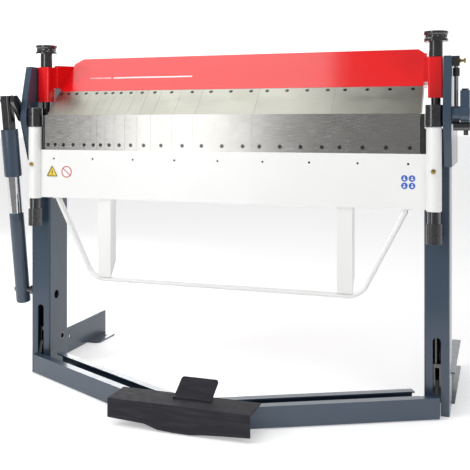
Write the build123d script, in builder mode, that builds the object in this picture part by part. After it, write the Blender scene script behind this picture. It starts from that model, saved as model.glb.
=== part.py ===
"""Foot-operated box and pan brake, 1270 mm working length.

Units are millimetres. X runs along the blades to the operator's right, Y runs away
from the operator and Z is up. The origin is on the floor, in the middle of the four
anchor holes.
"""
from build123d import *
from math import cos, hypot, radians, sin, tan
import os

os.makedirs("parts", exist_ok=True)

# ---------------------------------------------------------------- driving dimensions
bend_height = 900.0          # bending line above the floor
face_y = -350.0              # front face of the lower blades
blade_depth = 12.0           # lower blade, front to back
blade_height = 120.0
segment_widths = [25, 30, 35, 40, 45, 25, 30, 35, 40, 45, 50, 75, 75, 200, 250, 270]
working_length = float(sum(segment_widths))
blade_half = working_length / 2
single_screw_limit = 100.0   # narrower segments have one screw
screw_margins = {200: 30.0, 250: 25.0, 270: 30.0}
screws_per_wide = {200: 3, 250: 4, 270: 4}
running = 0.06               # radial clearance of a shaft that turns or slides
air = 0.5                    # gap between flat faces that pass each other
edge_break = 1.5

# columns and base
column_inner = blade_half + 7.0  # half distance between the columns
column_width = 74.0
column_front = face_y + 42.0
column_depth = 120.0
column_top = bend_height - 45.0
column_wall = 5.0
slot_width = 24.0
slot_top = 232.0
access_hole_r = 15.0
access_hole_z = 262.0
rail_length = 391.0
rail_height = 97.0
rail_width = 30.0
rail_wall = 4.0
foot_thickness = 6.0
foot_width = 49.0
front_foot_length = 52.0
rear_foot_length = 148.0
anchor_hole_r = 7.0
anchor_spacing_x = 2 * (column_inner + column_width - 46.0)
anchor_spacing_y = 310.0

# cheek plates
cheek_inner = column_inner + column_width - 16.5
cheek_thickness = 24.5
cheek_bottom = bend_height - 159.0
cheek_top = bend_height + 170.0
cheek_rear = face_y + 350.0
bush_wall = 5.0

# swing pivots
pivot_pin_r = 15.0
block_r = 25.0
block_low = bend_height - 40.0
block_high = bend_height + 25.0

# apron
apron_half = blade_half + 8.0
apron_bottom = bend_height - 284.0
apron_plate_depth = 25.0
tube_r = 22.5
end_axis_x = cheek_inner - tube_r - 3.0    # vertical axis of the end tubes and clamp screws
tube_low = bend_height - 288.0
tube_spindle_r = 15.0
nut_r = 23.0
nut_collar_r = 19.0
nut_low = bend_height - 383.0
nut_collar_low = bend_height - 323.0
nut_flutes = 24
end_cap_width = end_axis_x - tube_r - blade_half - 4.5
handle_r = 13.5
handle_half_top = blade_half - 40.0
handle_half_low = blade_half - 180.0
handle_low = bend_height - 556.0
handle_bend = 70.0
post_x = handle_half_low - 46.0
post_width = 48.0
post_depth = 40.0
post_low = handle_low + 8.0
post_wall = 5.0

# clamping beam
finger_thickness = 20.0
finger_rise = 85.0
beam_rise = 210.0
beam_skin = 14.0
beam_corner = 26.0
block_half = 22.0
end_block_low = bend_height + 47.0
end_block_high = bend_height + 170.0
clamp_axis_y = face_y + 72.0
clamp_screw_r = 14.0
knob_r = 37.5
knob_low = bend_height + 217.0
knob_high = bend_height + 247.0
sleeve_r = 21.0

# pedal
pedal_axis_y = face_y + 125.0
pedal_axis_z = 105.0
pedal_pin_r = 14.0
lever_arm = 55.0
pedal_angle = 26.0
arm_angle = 26.2
arm_end_y = face_y + 8.5
arm_half = column_inner + column_width / 2 + 11.0
arm_apex_y = arm_end_y - arm_half * tan(radians(arm_angle))
arm_depth = 92.0
arm_height = 62.0
arm_ground = 3.0
arm_wall = 4.0
arm_slot = 38.0
cover_half = 216.0
cover_top = 79.0
cover_depth = 104.0
cover_sheet = 5.0
lever_thickness = 10.0

# counterbalance strut
strut_x = -(cheek_inner + cheek_thickness + 41.0)
crank_y = -46.0              # crank pin, from the bending axis
crank_z = 51.0
strut_foot_y = face_y + 60.0
strut_foot_z = 278.0
strut_sleeve_r = 30.0
strut_rod_r = 22.0
strut_tube_r = 25.0
crank_pin_r = 10.0

# angle stop
stop_x = cheek_inner + cheek_thickness + 11.0
stop_y = face_y + 48.0
stop_rod_r = 6.5

# details
segment_gap = 0.4
screw_row_z = bend_height - 102.0
screw_r = 4.0
head_r = 6.5
head_depth = 8.0
head_sunk = 1.5
socket_r = 3.0
set_screw_pitch = 150.0
set_screw_z = bend_height - 150.0
set_screw_r = 3.6
finger_screw_along = 108.0
bed_depth = 88.0
bed_plate = 14.0
bed_low = bend_height - 260.0
bed_blade_low = bend_height - 28.0
bed_lip = 3.0
apron_lip = 18.0
apron_wall = 10.0
apron_flange = 16.0
fitting_z = bend_height - 170.0
fitting_r = 7.0
nut_height = 29.0
hub_r = 24.0
tip_r = 17.0
crank_thickness = 14.0
fork_half = 18.0
arm_face_gap = 24.0
angle_arm_thickness = 27.0
angle_arm_width = 38.0
angle_arm_top = bend_height + 67.0
angle_hub_r = 25.0
roller_r = 13.0
ear_thickness = 12.0
ear_low = bend_height + 97.0
truss_plate = 8.0
truss_low = bend_height + 85.0
spindle_low = bend_height - 110.0
coupling_low = bend_height - 126.0
coupling_high = bend_height - 80.0
fork_high = 150.0
fork_spread = 26.0
fork_gap = 12.0
rod_pin_r = 8.0
knob_holes = 12
knob_hole_r = 3.5
arm_notch = 52.0
arm_lip = 24.0
tab_tilt = 32.0
tab_length = 72.0
tab_width = 115.0
tab_x = 22.0
lever_boss = 56.0
sleeve_start = 100.0
sleeve_end = 268.0
tube_start = 399.0
tube_floor = 640.0
rod_end = 570.0
tube_tail = 46.0
foot_pin_r = 11.0
guide_outer = stop_x + 10.0
guide_high_low = bend_height + 140.0
guide_low_low = bend_height - 32.0
thumb_z = bend_height + 156.0
collar_low = bend_height + 110.0
collar_height = 25.0

# ---------------------------------------------------------------- derived places
axis_y = face_y + blade_depth
axis_z = bend_height
finger_nose_y = axis_y + 1.5
column_outer = column_inner + column_width
cheek_outer = cheek_inner + cheek_thickness
rail_front = column_front + column_depth
rail_inner = column_inner + column_width - 21.0
slot_x = (column_inner + column_outer) / 2
root2 = 2 ** 0.5
crank_outer_left = 4 + crank_thickness
arm_outer_right = arm_face_gap + angle_arm_thickness + 1
bed_front = face_y + 50.0
bed_rear = bed_front + bed_depth
post_front = face_y + 6.0
handle_y = face_y + 20.0
finger_length = finger_rise * root2
beam_half = blade_half
beam_step = finger_length + 1
beam_length = beam_rise * root2
beam_foot = finger_thickness + beam_skin + 4


def save(piece, name):
    """Label a finished piece and write it to its own file."""
    piece.part.label = name
    export_step(piece.part, f"parts/{name}.step")


def slope(along, across):
    """Point in the YZ plane: along the 45 degree face and across it, into the beam."""
    return (
        finger_nose_y + (along + across) / root2,
        bend_height + (along - across) / root2,
    )


def segment_edges():
    """Left and right X of each blade segment, from the left end."""
    edges = []
    left = -blade_half
    for width in segment_widths:
        edges.append((left, left + width))
        left += width
    return edges


def segment_screws(left, right):
    """X of the screws that hold one blade segment."""
    width = right - left
    if width < single_screw_limit:
        return [(left + right) / 2]
    margin = screw_margins.get(width, width / 8)
    count = screws_per_wide.get(width, 3)
    pitch = (width - 2 * margin) / (count - 1)
    return [left + margin + pitch * index for index in range(count)]


edges = segment_edges()
screw_xs = [x for left, right in edges for x in segment_screws(left, right)]
sides = (("left", -1), ("right", 1))

# ================================================================ frame
for side, sign in sides:
    # column: folded box with a lever slot in front, narrower above the cheek's seat
    mid = sign * slot_x
    upper_outer = cheek_inner
    upper_mid = sign * (column_inner + upper_outer) / 2
    upper_width = upper_outer - column_inner
    middle_y = column_front + column_depth / 2
    with BuildPart() as column:
        with BuildSketch(Plane.XY):
            with Locations((mid, middle_y)):
                RectangleRounded(column_width, column_depth, 6)
                RectangleRounded(
                    column_width - 2 * column_wall, column_depth - 2 * column_wall, 2,
                    mode=Mode.SUBTRACT,
                )
        extrude(amount=cheek_bottom)
        with BuildSketch(Plane.XY.offset(cheek_bottom - column_wall)):
            with Locations((mid, middle_y)):
                RectangleRounded(column_width, column_depth, 6)
            with Locations((upper_mid, middle_y)):
                Rectangle(
                    upper_width - 2 * column_wall, column_depth - 2 * column_wall,
                    mode=Mode.SUBTRACT,
                )
        extrude(amount=column_wall)
        with BuildSketch(Plane.XY.offset(cheek_bottom)):
            with Locations((upper_mid, middle_y)):
                Rectangle(upper_width, column_depth)
                Rectangle(
                    upper_width - 2 * column_wall, column_depth - 2 * column_wall,
                    mode=Mode.SUBTRACT,
                )
        extrude(amount=column_top - cheek_bottom)
        with BuildSketch(Plane.XY.offset(column_top - column_wall)):
            with Locations((upper_mid, middle_y)):
                Rectangle(upper_width, column_depth)
            with Locations((sign * end_axis_x, clamp_axis_y)):
                Circle(clamp_screw_r + 2, mode=Mode.SUBTRACT)
        extrude(amount=column_wall)
        with BuildSketch(Plane.XZ.offset(-column_front)):
            with Locations((mid, (slot_top - slot_width / 2) / 2)):
                Rectangle(slot_width, slot_top - slot_width / 2)
            with Locations((mid, slot_top - slot_width / 2)):
                Circle(slot_width / 2)
        extrude(amount=-column_wall * 2, mode=Mode.SUBTRACT)
        with BuildSketch(Plane.YZ.offset(mid - column_width)):
            with Locations((pedal_axis_y, pedal_axis_z)):
                Circle(pedal_pin_r)
        extrude(amount=2 * column_width, mode=Mode.SUBTRACT)
        with BuildSketch(Plane.YZ.offset(sign * column_inner)):
            with Locations((face_y + 86.5, access_hole_z)):
                Circle(access_hole_r)
        extrude(amount=sign * 2 * column_wall, mode=Mode.SUBTRACT)
    save(column, f"column_{side}")

    # cheek: thick side plate that carries the swing pivot
    with BuildPart() as cheek:
        with BuildSketch(Plane.YZ.offset(sign * cheek_inner)):
            with BuildLine():
                Polyline(
                    (face_y + 19, cheek_top),
                    (face_y - 7, bend_height + 65),
                    (face_y - 17, bend_height),
                    (face_y - 17, bend_height - 25),
                    (face_y + 28, cheek_bottom),
                    (cheek_rear, cheek_bottom),
                    (cheek_rear, bend_height - 30),
                    (face_y + 150, cheek_top),
                    close=True,
                )
            make_face()
            with Locations((axis_y, axis_z)):
                Circle(pivot_pin_r + bush_wall, mode=Mode.SUBTRACT)
        extrude(amount=sign * cheek_thickness)
        outline = cheek.edges().filter_by(Axis.X)
        chamfer(outline.sort_by(Axis.Y)[-1:], 3)
        for place in (sign * cheek_inner, sign * cheek_outer):
            rim = cheek.faces().filter_by(Axis.X).filter_by_position(Axis.X, place - 0.1, place + 0.1)
            chamfer(rim.edges().filter_by(GeomType.LINE), edge_break)
    save(cheek, f"cheek_{side}")

    # base rail: channel with its web inside and its flanges turned out
    with BuildPart() as rail:
        with BuildSketch(Plane.XZ.offset(-rail_front)):
            with BuildLine():
                outer = sign * (rail_inner + rail_width)
                inner = sign * rail_inner
                web = sign * (rail_inner + rail_wall)
                Polyline(
                    (outer, 0),
                    (inner, 0),
                    (inner, rail_height),
                    (outer, rail_height),
                    (outer, rail_height - rail_wall),
                    (web, rail_height - rail_wall),
                    (web, rail_wall),
                    (outer, rail_wall),
                    close=True,
                )
            make_face()
        extrude(amount=-rail_length)
        fillet(rail.edges().filter_by(Axis.Y).filter_by_position(Axis.X, inner - 1, inner + 1), 3)
        with BuildSketch(Plane.YZ.offset(inner)):
            with Locations((rail_front + 106, 61)):
                Circle(5)
        extrude(amount=sign * rail_wall, mode=Mode.SUBTRACT)
    save(rail, f"base_rail_{side}")

# anchor feet: plates on the floor beside the rails, with one hole each
with BuildPart() as feet:
    with BuildSketch(Plane.XY):
        for _side, sign in sides:
            foot_mid = sign * (rail_inner - foot_width / 2)
            rear_mid = rail_front + rail_length - rear_foot_length / 2
            front_mid = -anchor_spacing_y / 2
            with Locations((foot_mid, rear_mid)):
                Rectangle(foot_width, rear_foot_length)
            with Locations((foot_mid, front_mid)):
                Rectangle(foot_width, front_foot_length)
        with GridLocations(anchor_spacing_x, anchor_spacing_y, 2, 2):
            Circle(anchor_hole_r, mode=Mode.SUBTRACT)
    extrude(amount=foot_thickness)
    corners = feet.edges().filter_by(Axis.Z).filter_by(GeomType.LINE)
    inner_edge = rail_inner - foot_width
    free = [edge for edge in corners if abs(abs(edge.center().X) - inner_edge) < 1]
    chamfer(free, 14)
save(feet, "anchor_feet")

# bed beam: folded channel between the columns, stiffened by ribs
with BuildPart() as bed_beam:
    with BuildSketch(Plane.YZ.offset(-column_inner)):
        with BuildLine():
            Polyline(
                (bed_front, bed_low),
                (bed_front, bed_blade_low),
                (bed_rear, bed_blade_low),
                (bed_rear, bed_blade_low - bed_plate),
                (bed_front + bed_plate, bed_blade_low - bed_plate),
                (bed_front + bed_plate, bed_low + bed_plate),
                (bed_rear, bed_low + bed_plate),
                (bed_rear, bed_low),
                close=True,
            )
        make_face()
    extrude(amount=2 * column_inner)
    for rib_x in (-column_inner / 2, 0, column_inner / 2):
        with BuildSketch(Plane.YZ.offset(rib_x)):
            with Locations(((bed_front + bed_rear) / 2, (bed_low + bed_blade_low) / 2)):
                Rectangle(bed_depth - 6, bed_blade_low - bed_low - 2)
        extrude(amount=bed_plate / 2, both=True)
save(bed_beam, "bed_beam")

# bed blade: hardened bar whose bevelled nose is the bending line
with BuildPart() as bed_blade:
    with BuildSketch(Plane.YZ.offset(-blade_half)):
        with BuildLine():
            Polyline(
                (axis_y + air, bend_height),
                (axis_y + air, bend_height - bed_lip),
                (axis_y + air + bend_height - bed_lip - bed_blade_low, bed_blade_low),
                (bed_rear, bed_blade_low),
                (bed_rear, bend_height),
                close=True,
            )
        make_face()
    extrude(amount=working_length)
save(bed_blade, "bed_blade")

# pivot bushes pressed into the cheeks
with BuildPart() as bushes:
    for _side, sign in sides:
        with BuildSketch(Plane.YZ.offset(sign * cheek_inner)):
            with Locations((axis_y, axis_z)):
                Circle(pivot_pin_r + bush_wall)
                Circle(pivot_pin_r + running, mode=Mode.SUBTRACT)
        extrude(amount=sign * cheek_thickness)
save(bushes, "pivot_bushes")

# pedal pins: tubes through both walls of each column
with BuildPart() as pedal_pins:
    for _side, sign in sides:
        with BuildSketch(Plane.YZ.offset(sign * column_inner)):
            with Locations((pedal_axis_y, pedal_axis_z)):
                Circle(pedal_pin_r)
                Circle(pedal_pin_r - 5, mode=Mode.SUBTRACT)
        extrude(amount=sign * column_width)
save(pedal_pins, "pedal_pivot_pins")

# ================================================================ swing frame
for side, sign in sides:
    # pivot block: round block on the end axis with the swing pin through it
    pin_end = cheek_outer + (arm_outer_right if sign > 0 else crank_outer_left)
    with BuildPart() as block:
        with BuildSketch(Plane.XY.offset(block_low)):
            with Locations((sign * end_axis_x, face_y)):
                Circle(block_r)
        extrude(amount=block_high - block_low)
        rims = block.edges().filter_by(GeomType.CIRCLE)
        chamfer(rims, edge_break)
        with BuildSketch(Plane.YZ.offset(sign * (end_axis_x + 4))):
            with Locations((axis_y, axis_z)):
                Circle(pivot_pin_r)
        extrude(amount=sign * (pin_end - end_axis_x - 4))
        with BuildSketch(Plane.XZ.offset(-(face_y - block_r))):
            with Locations((sign * end_axis_x, block_high - 21)):
                Circle(3)
        extrude(amount=-8, mode=Mode.SUBTRACT)
    save(block, f"pivot_block_{side}")

# height spindles: threaded bars under the pivot blocks
with BuildPart() as spindles:
    for _side, sign in sides:
        with BuildSketch(Plane.XY.offset(nut_low + 4)):
            with Locations((sign * end_axis_x, face_y)):
                Circle(tube_spindle_r)
        extrude(amount=block_low - nut_low - 4)
save(spindles, "height_spindles")

# left crank: plate on the swing pin, with the strut's pin
crank_inner = cheek_outer + air
crank_plate = cheek_outer + 4
with BuildPart() as crank:
    with BuildSketch(Plane.YZ.offset(-crank_plate)):
        with BuildLine():
            crank_length = hypot(crank_y, crank_z)
            hub = (axis_y, axis_z)
            tip = (axis_y + crank_y, axis_z + crank_z)
            across_y = crank_z / crank_length
            across_z = -crank_y / crank_length
            Polyline(
                (hub[0] + hub_r * across_y, hub[1] + hub_r * across_z),
                (tip[0] + tip_r * across_y, tip[1] + tip_r * across_z),
                (tip[0] - tip_r * across_y, tip[1] - tip_r * across_z),
                (hub[0] - hub_r * across_y, hub[1] - hub_r * across_z),
                close=True,
            )
        make_face()
        with Locations(hub):
            Circle(hub_r)
        with Locations(tip):
            Circle(tip_r)
        with Locations(hub):
            Circle(pivot_pin_r, mode=Mode.SUBTRACT)
    extrude(amount=-crank_thickness)
    with BuildSketch(Plane.YZ.offset(-crank_inner)):
        with Locations(hub):
            Circle(hub_r - 2)
            Circle(pivot_pin_r, mode=Mode.SUBTRACT)
    extrude(amount=-(crank_plate - crank_inner))
    with BuildSketch(Plane.YZ.offset(-crank_plate - crank_thickness)):
        with Locations(tip):
            Circle(crank_pin_r)
    extrude(amount=-(-strut_x - crank_plate - crank_thickness + fork_half + 5))
save(crank, "crank_arm_left")

# right angle arm: upright arm on the swing pin
arm_face = cheek_outer + arm_face_gap
with BuildPart() as angle_arm:
    with BuildSketch(Plane.YZ.offset(arm_face)):
        with Locations((axis_y, axis_z)):
            Circle(angle_hub_r)
        with Locations((axis_y, axis_z + (angle_arm_top - axis_z) / 2)):
            Rectangle(angle_arm_width, angle_arm_top - axis_z)
        with Locations((axis_y, axis_z)):
            Circle(pivot_pin_r, mode=Mode.SUBTRACT)
    extrude(amount=angle_arm_thickness)
    chamfer(angle_arm.edges().filter_by(Axis.X).group_by(Axis.Z)[-1], 6)
    with BuildSketch(Plane.YZ.offset(cheek_outer + air)):
        with Locations((axis_y, axis_z)):
            Circle(pivot_pin_r + 6)
            Circle(pivot_pin_r, mode=Mode.SUBTRACT)
    extrude(amount=arm_face_gap - air)
save(angle_arm, "angle_arm_right")

# stop roller under the angle arm, with its small knob, and the bolt on top
roller_z = axis_z - angle_hub_r - roller_r - 0.2
with BuildPart() as roller:
    with BuildSketch(Plane.YZ.offset(cheek_outer + 4)):
        with Locations((axis_y, roller_z)):
            Circle(roller_r)
    extrude(amount=arm_face_gap - 4 + angle_arm_thickness + 1)
    chamfer(roller.edges().filter_by(GeomType.CIRCLE), 1)
    with BuildSketch(Plane.XY.offset(roller_z - roller_r - 13)):
        with Locations((arm_face + angle_arm_thickness / 2 + 2, axis_y)):
            Circle(7)
    extrude(amount=16)
    with BuildSketch(Plane.XY.offset(angle_arm_top)):
        with Locations((arm_face + angle_arm_thickness / 2, axis_y)):
            RegularPolygon(10, 6)
    extrude(amount=5)
save(roller, "angle_stop_roller")

# ================================================================ apron
with BuildPart() as apron_plate:
    with BuildSketch(Plane.YZ.offset(-apron_half - 10)):
        with BuildLine():
            Polyline(
                (face_y, apron_bottom),
                (face_y, bend_height - blade_height),
                (axis_y, bend_height - blade_height),
                (axis_y, bend_height - apron_lip),
                (face_y + apron_plate_depth, bend_height - apron_lip),
                (face_y + apron_plate_depth, apron_bottom + apron_wall),
                (face_y + apron_plate_depth + apron_flange, apron_bottom + apron_wall),
                (face_y + apron_plate_depth + apron_flange, apron_bottom),
                close=True,
            )
        make_face()
    extrude(amount=2 * (apron_half + 10))
    for _side, sign in sides:
        # room for the end tube and, above, for the black end strip
        with BuildSketch(Plane.XY.offset(apron_bottom - 1)):
            with Locations((sign * end_axis_x, face_y)):
                Circle(tube_r + running)
        extrude(amount=bend_height - apron_bottom, mode=Mode.SUBTRACT)
        with BuildSketch(Plane.XY.offset(bend_height - blade_height)):
            with Locations((sign * (blade_half + 50), face_y)):
                Rectangle(100, 120)
        extrude(amount=blade_height, mode=Mode.SUBTRACT)
    with BuildSketch(Plane.XZ.offset(-face_y)):
        with Locations([(x, screw_row_z) for x in screw_xs]):
            Circle(screw_r)
        with Locations([(index * set_screw_pitch, set_screw_z) for index in range(-4, 5)]):
            Circle(set_screw_r)
    extrude(amount=-apron_plate_depth, mode=Mode.SUBTRACT)
save(apron_plate, "apron_plate")

for side, sign in sides:
    with BuildPart() as tube:
        with BuildSketch(Plane.XY.offset(tube_low)):
            with Locations((sign * end_axis_x, face_y)):
                Circle(tube_r)
                Circle(tube_spindle_r + running, mode=Mode.SUBTRACT)
        extrude(amount=block_low - tube_low)
        rims = tube.edges().filter_by(GeomType.CIRCLE).filter_by(lambda edge: edge.radius > tube_r - 1)
        fillet(rims, 3)
        with BuildSketch(Plane.XZ.offset(-(face_y - tube_r))):
            with Locations((sign * end_axis_x, fitting_z)):
                Circle(fitting_r)
        extrude(amount=-5, mode=Mode.SUBTRACT)
    save(tube, f"apron_tube_{side}")

# grease fittings in the tubes
with BuildPart() as fittings:
    for _side, sign in sides:
        base = face_y - tube_r + 5
        for depth, radius in ((5 + 3, fitting_r), (5 + 6, fitting_r - 2.2), (5 + 9, fitting_r - 3.4)):
            with BuildSketch(Plane.XZ.offset(-base)):
                with Locations((sign * end_axis_x, fitting_z)):
                    Circle(radius)
            extrude(amount=depth)
save(fittings, "grease_fittings")

# black strips that close the ends of the lower blades
with BuildPart() as caps:
    for _side, sign in sides:
        with BuildSketch(Plane.YZ.offset(sign * (blade_half + 0.5))):
            with BuildLine():
                Polyline(
                    (face_y + 4, bend_height - blade_height),
                    (face_y + 4, bend_height - 1),
                    (axis_y - 1, bend_height - 1),
                    (face_y + apron_plate_depth, bend_height - apron_lip),
                    (face_y + apron_plate_depth, bend_height - blade_height),
                    close=True,
                )
            make_face()
        extrude(amount=sign * end_cap_width)
save(caps, "apron_end_caps")

# handle: one bent tube hung from the apron's lower flange
with BuildPart() as handle:
    with BuildLine() as handle_path:
        FilletPolyline(
            (-handle_half_top, handle_y, apron_bottom),
            (-handle_half_low, handle_y, handle_low),
            (handle_half_low, handle_y, handle_low),
            (handle_half_top, handle_y, apron_bottom),
            radius=handle_bend,
        )
    leg = Vector(handle_half_low - handle_half_top, 0, handle_low - apron_bottom)
    with BuildSketch(Plane(origin=(-handle_half_top, handle_y, apron_bottom), z_dir=leg)):
        Circle(handle_r)
        Circle(handle_r - 2.5, mode=Mode.SUBTRACT)
    sweep()
    with BuildSketch(Plane.XY.offset(apron_bottom)):
        with Locations((0, handle_y)):
            Rectangle(2 * handle_half_top + 200, 200)
    extrude(amount=100, mode=Mode.SUBTRACT)
save(handle, "apron_handle")

# posts: channels between the apron and the handle
with BuildPart() as posts:
    for _side, sign in sides:
        with BuildSketch(Plane.XY.offset(post_low)):
            with Locations((sign * post_x, post_front + post_depth / 2)):
                Rectangle(post_width, post_depth)
            with Locations((sign * post_x, post_front + post_wall + post_depth / 2)):
                Rectangle(post_width - 2 * post_wall, post_depth, mode=Mode.SUBTRACT)
        extrude(amount=apron_bottom - post_low)
    with BuildSketch(Plane.YZ.offset(-post_x - post_width)):
        with BuildLine():
            Polyline(
                (post_front + post_depth + 1, post_low - 1),
                (post_front + post_depth + 1, post_low + post_depth + 10),
                (post_front + post_wall, post_low - 1),
                close=True,
            )
        make_face()
    extrude(amount=2 * (post_x + post_width), mode=Mode.SUBTRACT)
    with BuildSketch(Plane.YZ.offset(-post_x - post_width)):
        with Locations((handle_y, handle_low)):
            Circle(handle_r + running)
    extrude(amount=2 * (post_x + post_width), mode=Mode.SUBTRACT)
save(posts, "apron_posts")

for side, sign in sides:
    # adjusting nut with its smooth collar, and the lock nut below it
    with BuildPart() as nut:
        spots = [
            (nut_collar_low, tube_low, nut_collar_r, 0),
            (nut_low + nut_height + 1, nut_collar_low, nut_r, nut_flutes),
            (nut_low, nut_low + nut_height, nut_r, nut_flutes),
        ]
        for low, high, radius, flutes in spots:
            with BuildSketch(Plane.XY.offset(low)):
                with Locations((sign * end_axis_x, face_y)):
                    Circle(radius)
                    if flutes:
                        with PolarLocations(radius + 0.6, flutes):
                            Circle(1.6, mode=Mode.SUBTRACT)
            extrude(amount=high - low)
        with BuildSketch(Plane.XY.offset(nut_low + nut_height - 1)):
            with Locations((sign * end_axis_x, face_y)):
                Circle(nut_r - 3)
        extrude(amount=3)
        with BuildSketch(Plane.XY.offset(nut_low - 1)):
            with Locations((sign * end_axis_x, face_y)):
                Circle(tube_spindle_r + running)
        extrude(amount=tube_low - nut_low + 2, mode=Mode.SUBTRACT)
    save(nut, f"height_nut_{side}")


def lower_blades(name, chosen):
    """Write one node of lower blade segments."""
    with BuildPart() as blades:
        for left, right in chosen:
            with BuildSketch(Plane.XZ.offset(-face_y)):
                with Locations(((left + right) / 2, bend_height - blade_height / 2)):
                    Rectangle(right - left - segment_gap, blade_height)
            extrude(amount=-blade_depth)
            with BuildSketch(Plane.XZ.offset(-face_y)):
                with Locations([(x, screw_row_z) for x in segment_screws(left, right)]):
                    Circle(screw_r)
            extrude(amount=-blade_depth, mode=Mode.SUBTRACT)
            with BuildSketch(Plane.XZ.offset(-face_y)):
                with Locations([(x, screw_row_z) for x in segment_screws(left, right)]):
                    Circle(head_r)
            extrude(amount=-head_depth, mode=Mode.SUBTRACT)
    save(blades, name)


def face_plane(along, across):
    """Plane parallel to the 45 degree face, its local x along the machine."""
    place_y, place_z = slope(along, across)
    return Plane(origin=(0, place_y, place_z), x_dir=(1, 0, 0), z_dir=(0, 1, -1))


def upper_fingers(name, chosen):
    """Write one node of upper finger segments."""
    with BuildPart() as fingers:
        for left, right in chosen:
            with BuildSketch(Plane.YZ.offset(left + segment_gap / 2)):
                with BuildLine():
                    Polyline(
                        slope(0, 0),
                        slope(finger_length, 0),
                        slope(finger_length, finger_thickness),
                        slope(finger_thickness, finger_thickness),
                        close=True,
                    )
                make_face()
            extrude(amount=right - left - segment_gap)
            spots = [(x, 0) for x in segment_screws(left, right)]
            with BuildSketch(face_plane(finger_screw_along, 0)):
                with Locations(spots):
                    Circle(screw_r)
            extrude(amount=finger_thickness, mode=Mode.SUBTRACT)
            with BuildSketch(face_plane(finger_screw_along, 0)):
                with Locations(spots):
                    Circle(head_r)
            extrude(amount=head_depth, mode=Mode.SUBTRACT)
    save(fingers, name)


groups = {"small": edges[:10], "medium": edges[10:13]}
for wide_name, edge in zip(("200", "250", "270"), edges[13:]):
    groups[wide_name] = [edge]
for size, chosen in groups.items():
    lower_blades(f"lower_blades_{size}", chosen)
    upper_fingers(f"upper_fingers_{size}", chosen)


def socket_screws(name, planes, length):
    """Write one node of socket head screws whose heads start at the given planes."""
    head = head_depth - head_sunk
    socket_depth = 0.6 * head
    with BuildPart() as screws:
        for plane in planes:
            with BuildSketch(plane):
                Circle(head_r - 0.4)
                RegularPolygon(socket_r, 6, mode=Mode.SUBTRACT)
            extrude(amount=socket_depth)
            with BuildSketch(plane.offset(socket_depth)):
                Circle(head_r - 0.4)
            extrude(amount=head - socket_depth)
            with BuildSketch(plane.offset(head)):
                Circle(screw_r)
            extrude(amount=length)
    save(screws, name)


blade_planes = [
    Plane(origin=(x, face_y + head_sunk, screw_row_z), x_dir=(1, 0, 0), z_dir=(0, 1, 0))
    for x in screw_xs
]
socket_screws("blade_screws", blade_planes, apron_plate_depth - head_depth)
finger_planes = []
for x in screw_xs:
    screw_y, screw_z = slope(finger_screw_along, head_sunk)
    finger_planes.append(Plane(origin=(x, screw_y, screw_z), x_dir=(1, 0, 0), z_dir=(0, 1, -1)))
socket_screws("finger_screws", finger_planes, finger_thickness + beam_skin - head_depth - 1)

with BuildPart() as set_screws:
    with BuildSketch(Plane.XZ.offset(-(face_y + 1.5))):
        with Locations([(index * set_screw_pitch, set_screw_z) for index in range(-4, 5)]):
            Circle(set_screw_r)
            RegularPolygon(set_screw_r * 0.55, 6, mode=Mode.SUBTRACT)
    extrude(amount=-3)
    with BuildSketch(Plane.XZ.offset(-(face_y + 4.5))):
        with Locations([(index * set_screw_pitch, set_screw_z) for index in range(-4, 5)]):
            Circle(set_screw_r)
    extrude(amount=-(apron_plate_depth - 4.5))
save(set_screws, "apron_set_screws")

# ================================================================ clamping beam
with BuildPart() as beam:
    with BuildSketch(Plane.YZ.offset(-beam_half)):
        with BuildLine():
            Polyline(
                slope(beam_step, 0),
                slope(beam_length, 0),
                slope(beam_length, beam_skin),
                slope(beam_step + 30, beam_skin),
                slope(beam_step + 30, finger_thickness + beam_skin),
                slope(beam_foot, finger_thickness + beam_skin),
                slope(beam_foot, finger_thickness),
                slope(beam_step, finger_thickness),
                close=True,
            )
        make_face()
    extrude(amount=2 * beam_half)
    ends = beam.edges().filter_by(Axis.X, reverse=True).group_by(Axis.Z)[-1]
    chamfer(ends, beam_corner)
    with BuildSketch(face_plane(finger_screw_along, finger_thickness)):
        with Locations([(x, 0) for x in screw_xs]):
            Circle(screw_r)
    extrude(amount=beam_skin, mode=Mode.SUBTRACT)
save(beam, "beam_front")

# truss: upright rear plate and end gussets behind the sloping front
back_top = slope(beam_length - 4, beam_skin)
with BuildPart() as truss:
    with BuildSketch(Plane.YZ.offset(-beam_half)):
        with BuildLine():
            Polyline(
                (back_top[0], back_top[1]),
                (back_top[0] + truss_plate, back_top[1]),
                (back_top[0] + truss_plate, truss_low),
                (back_top[0], truss_low),
                close=True,
            )
        make_face()
    extrude(amount=2 * beam_half)
    for gusset_x in (-beam_half, -beam_half / 3, beam_half / 3, beam_half - truss_plate):
        with BuildSketch(Plane.YZ.offset(gusset_x)):
            with BuildLine():
                Polyline(
                    (back_top[0], back_top[1]),
                    slope(beam_step + 30, beam_skin),
                    slope(beam_step + 30, finger_thickness + beam_skin),
                    (back_top[0], truss_low),
                    close=True,
                )
            make_face()
        extrude(amount=truss_plate)
save(truss, "beam_truss")

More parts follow.
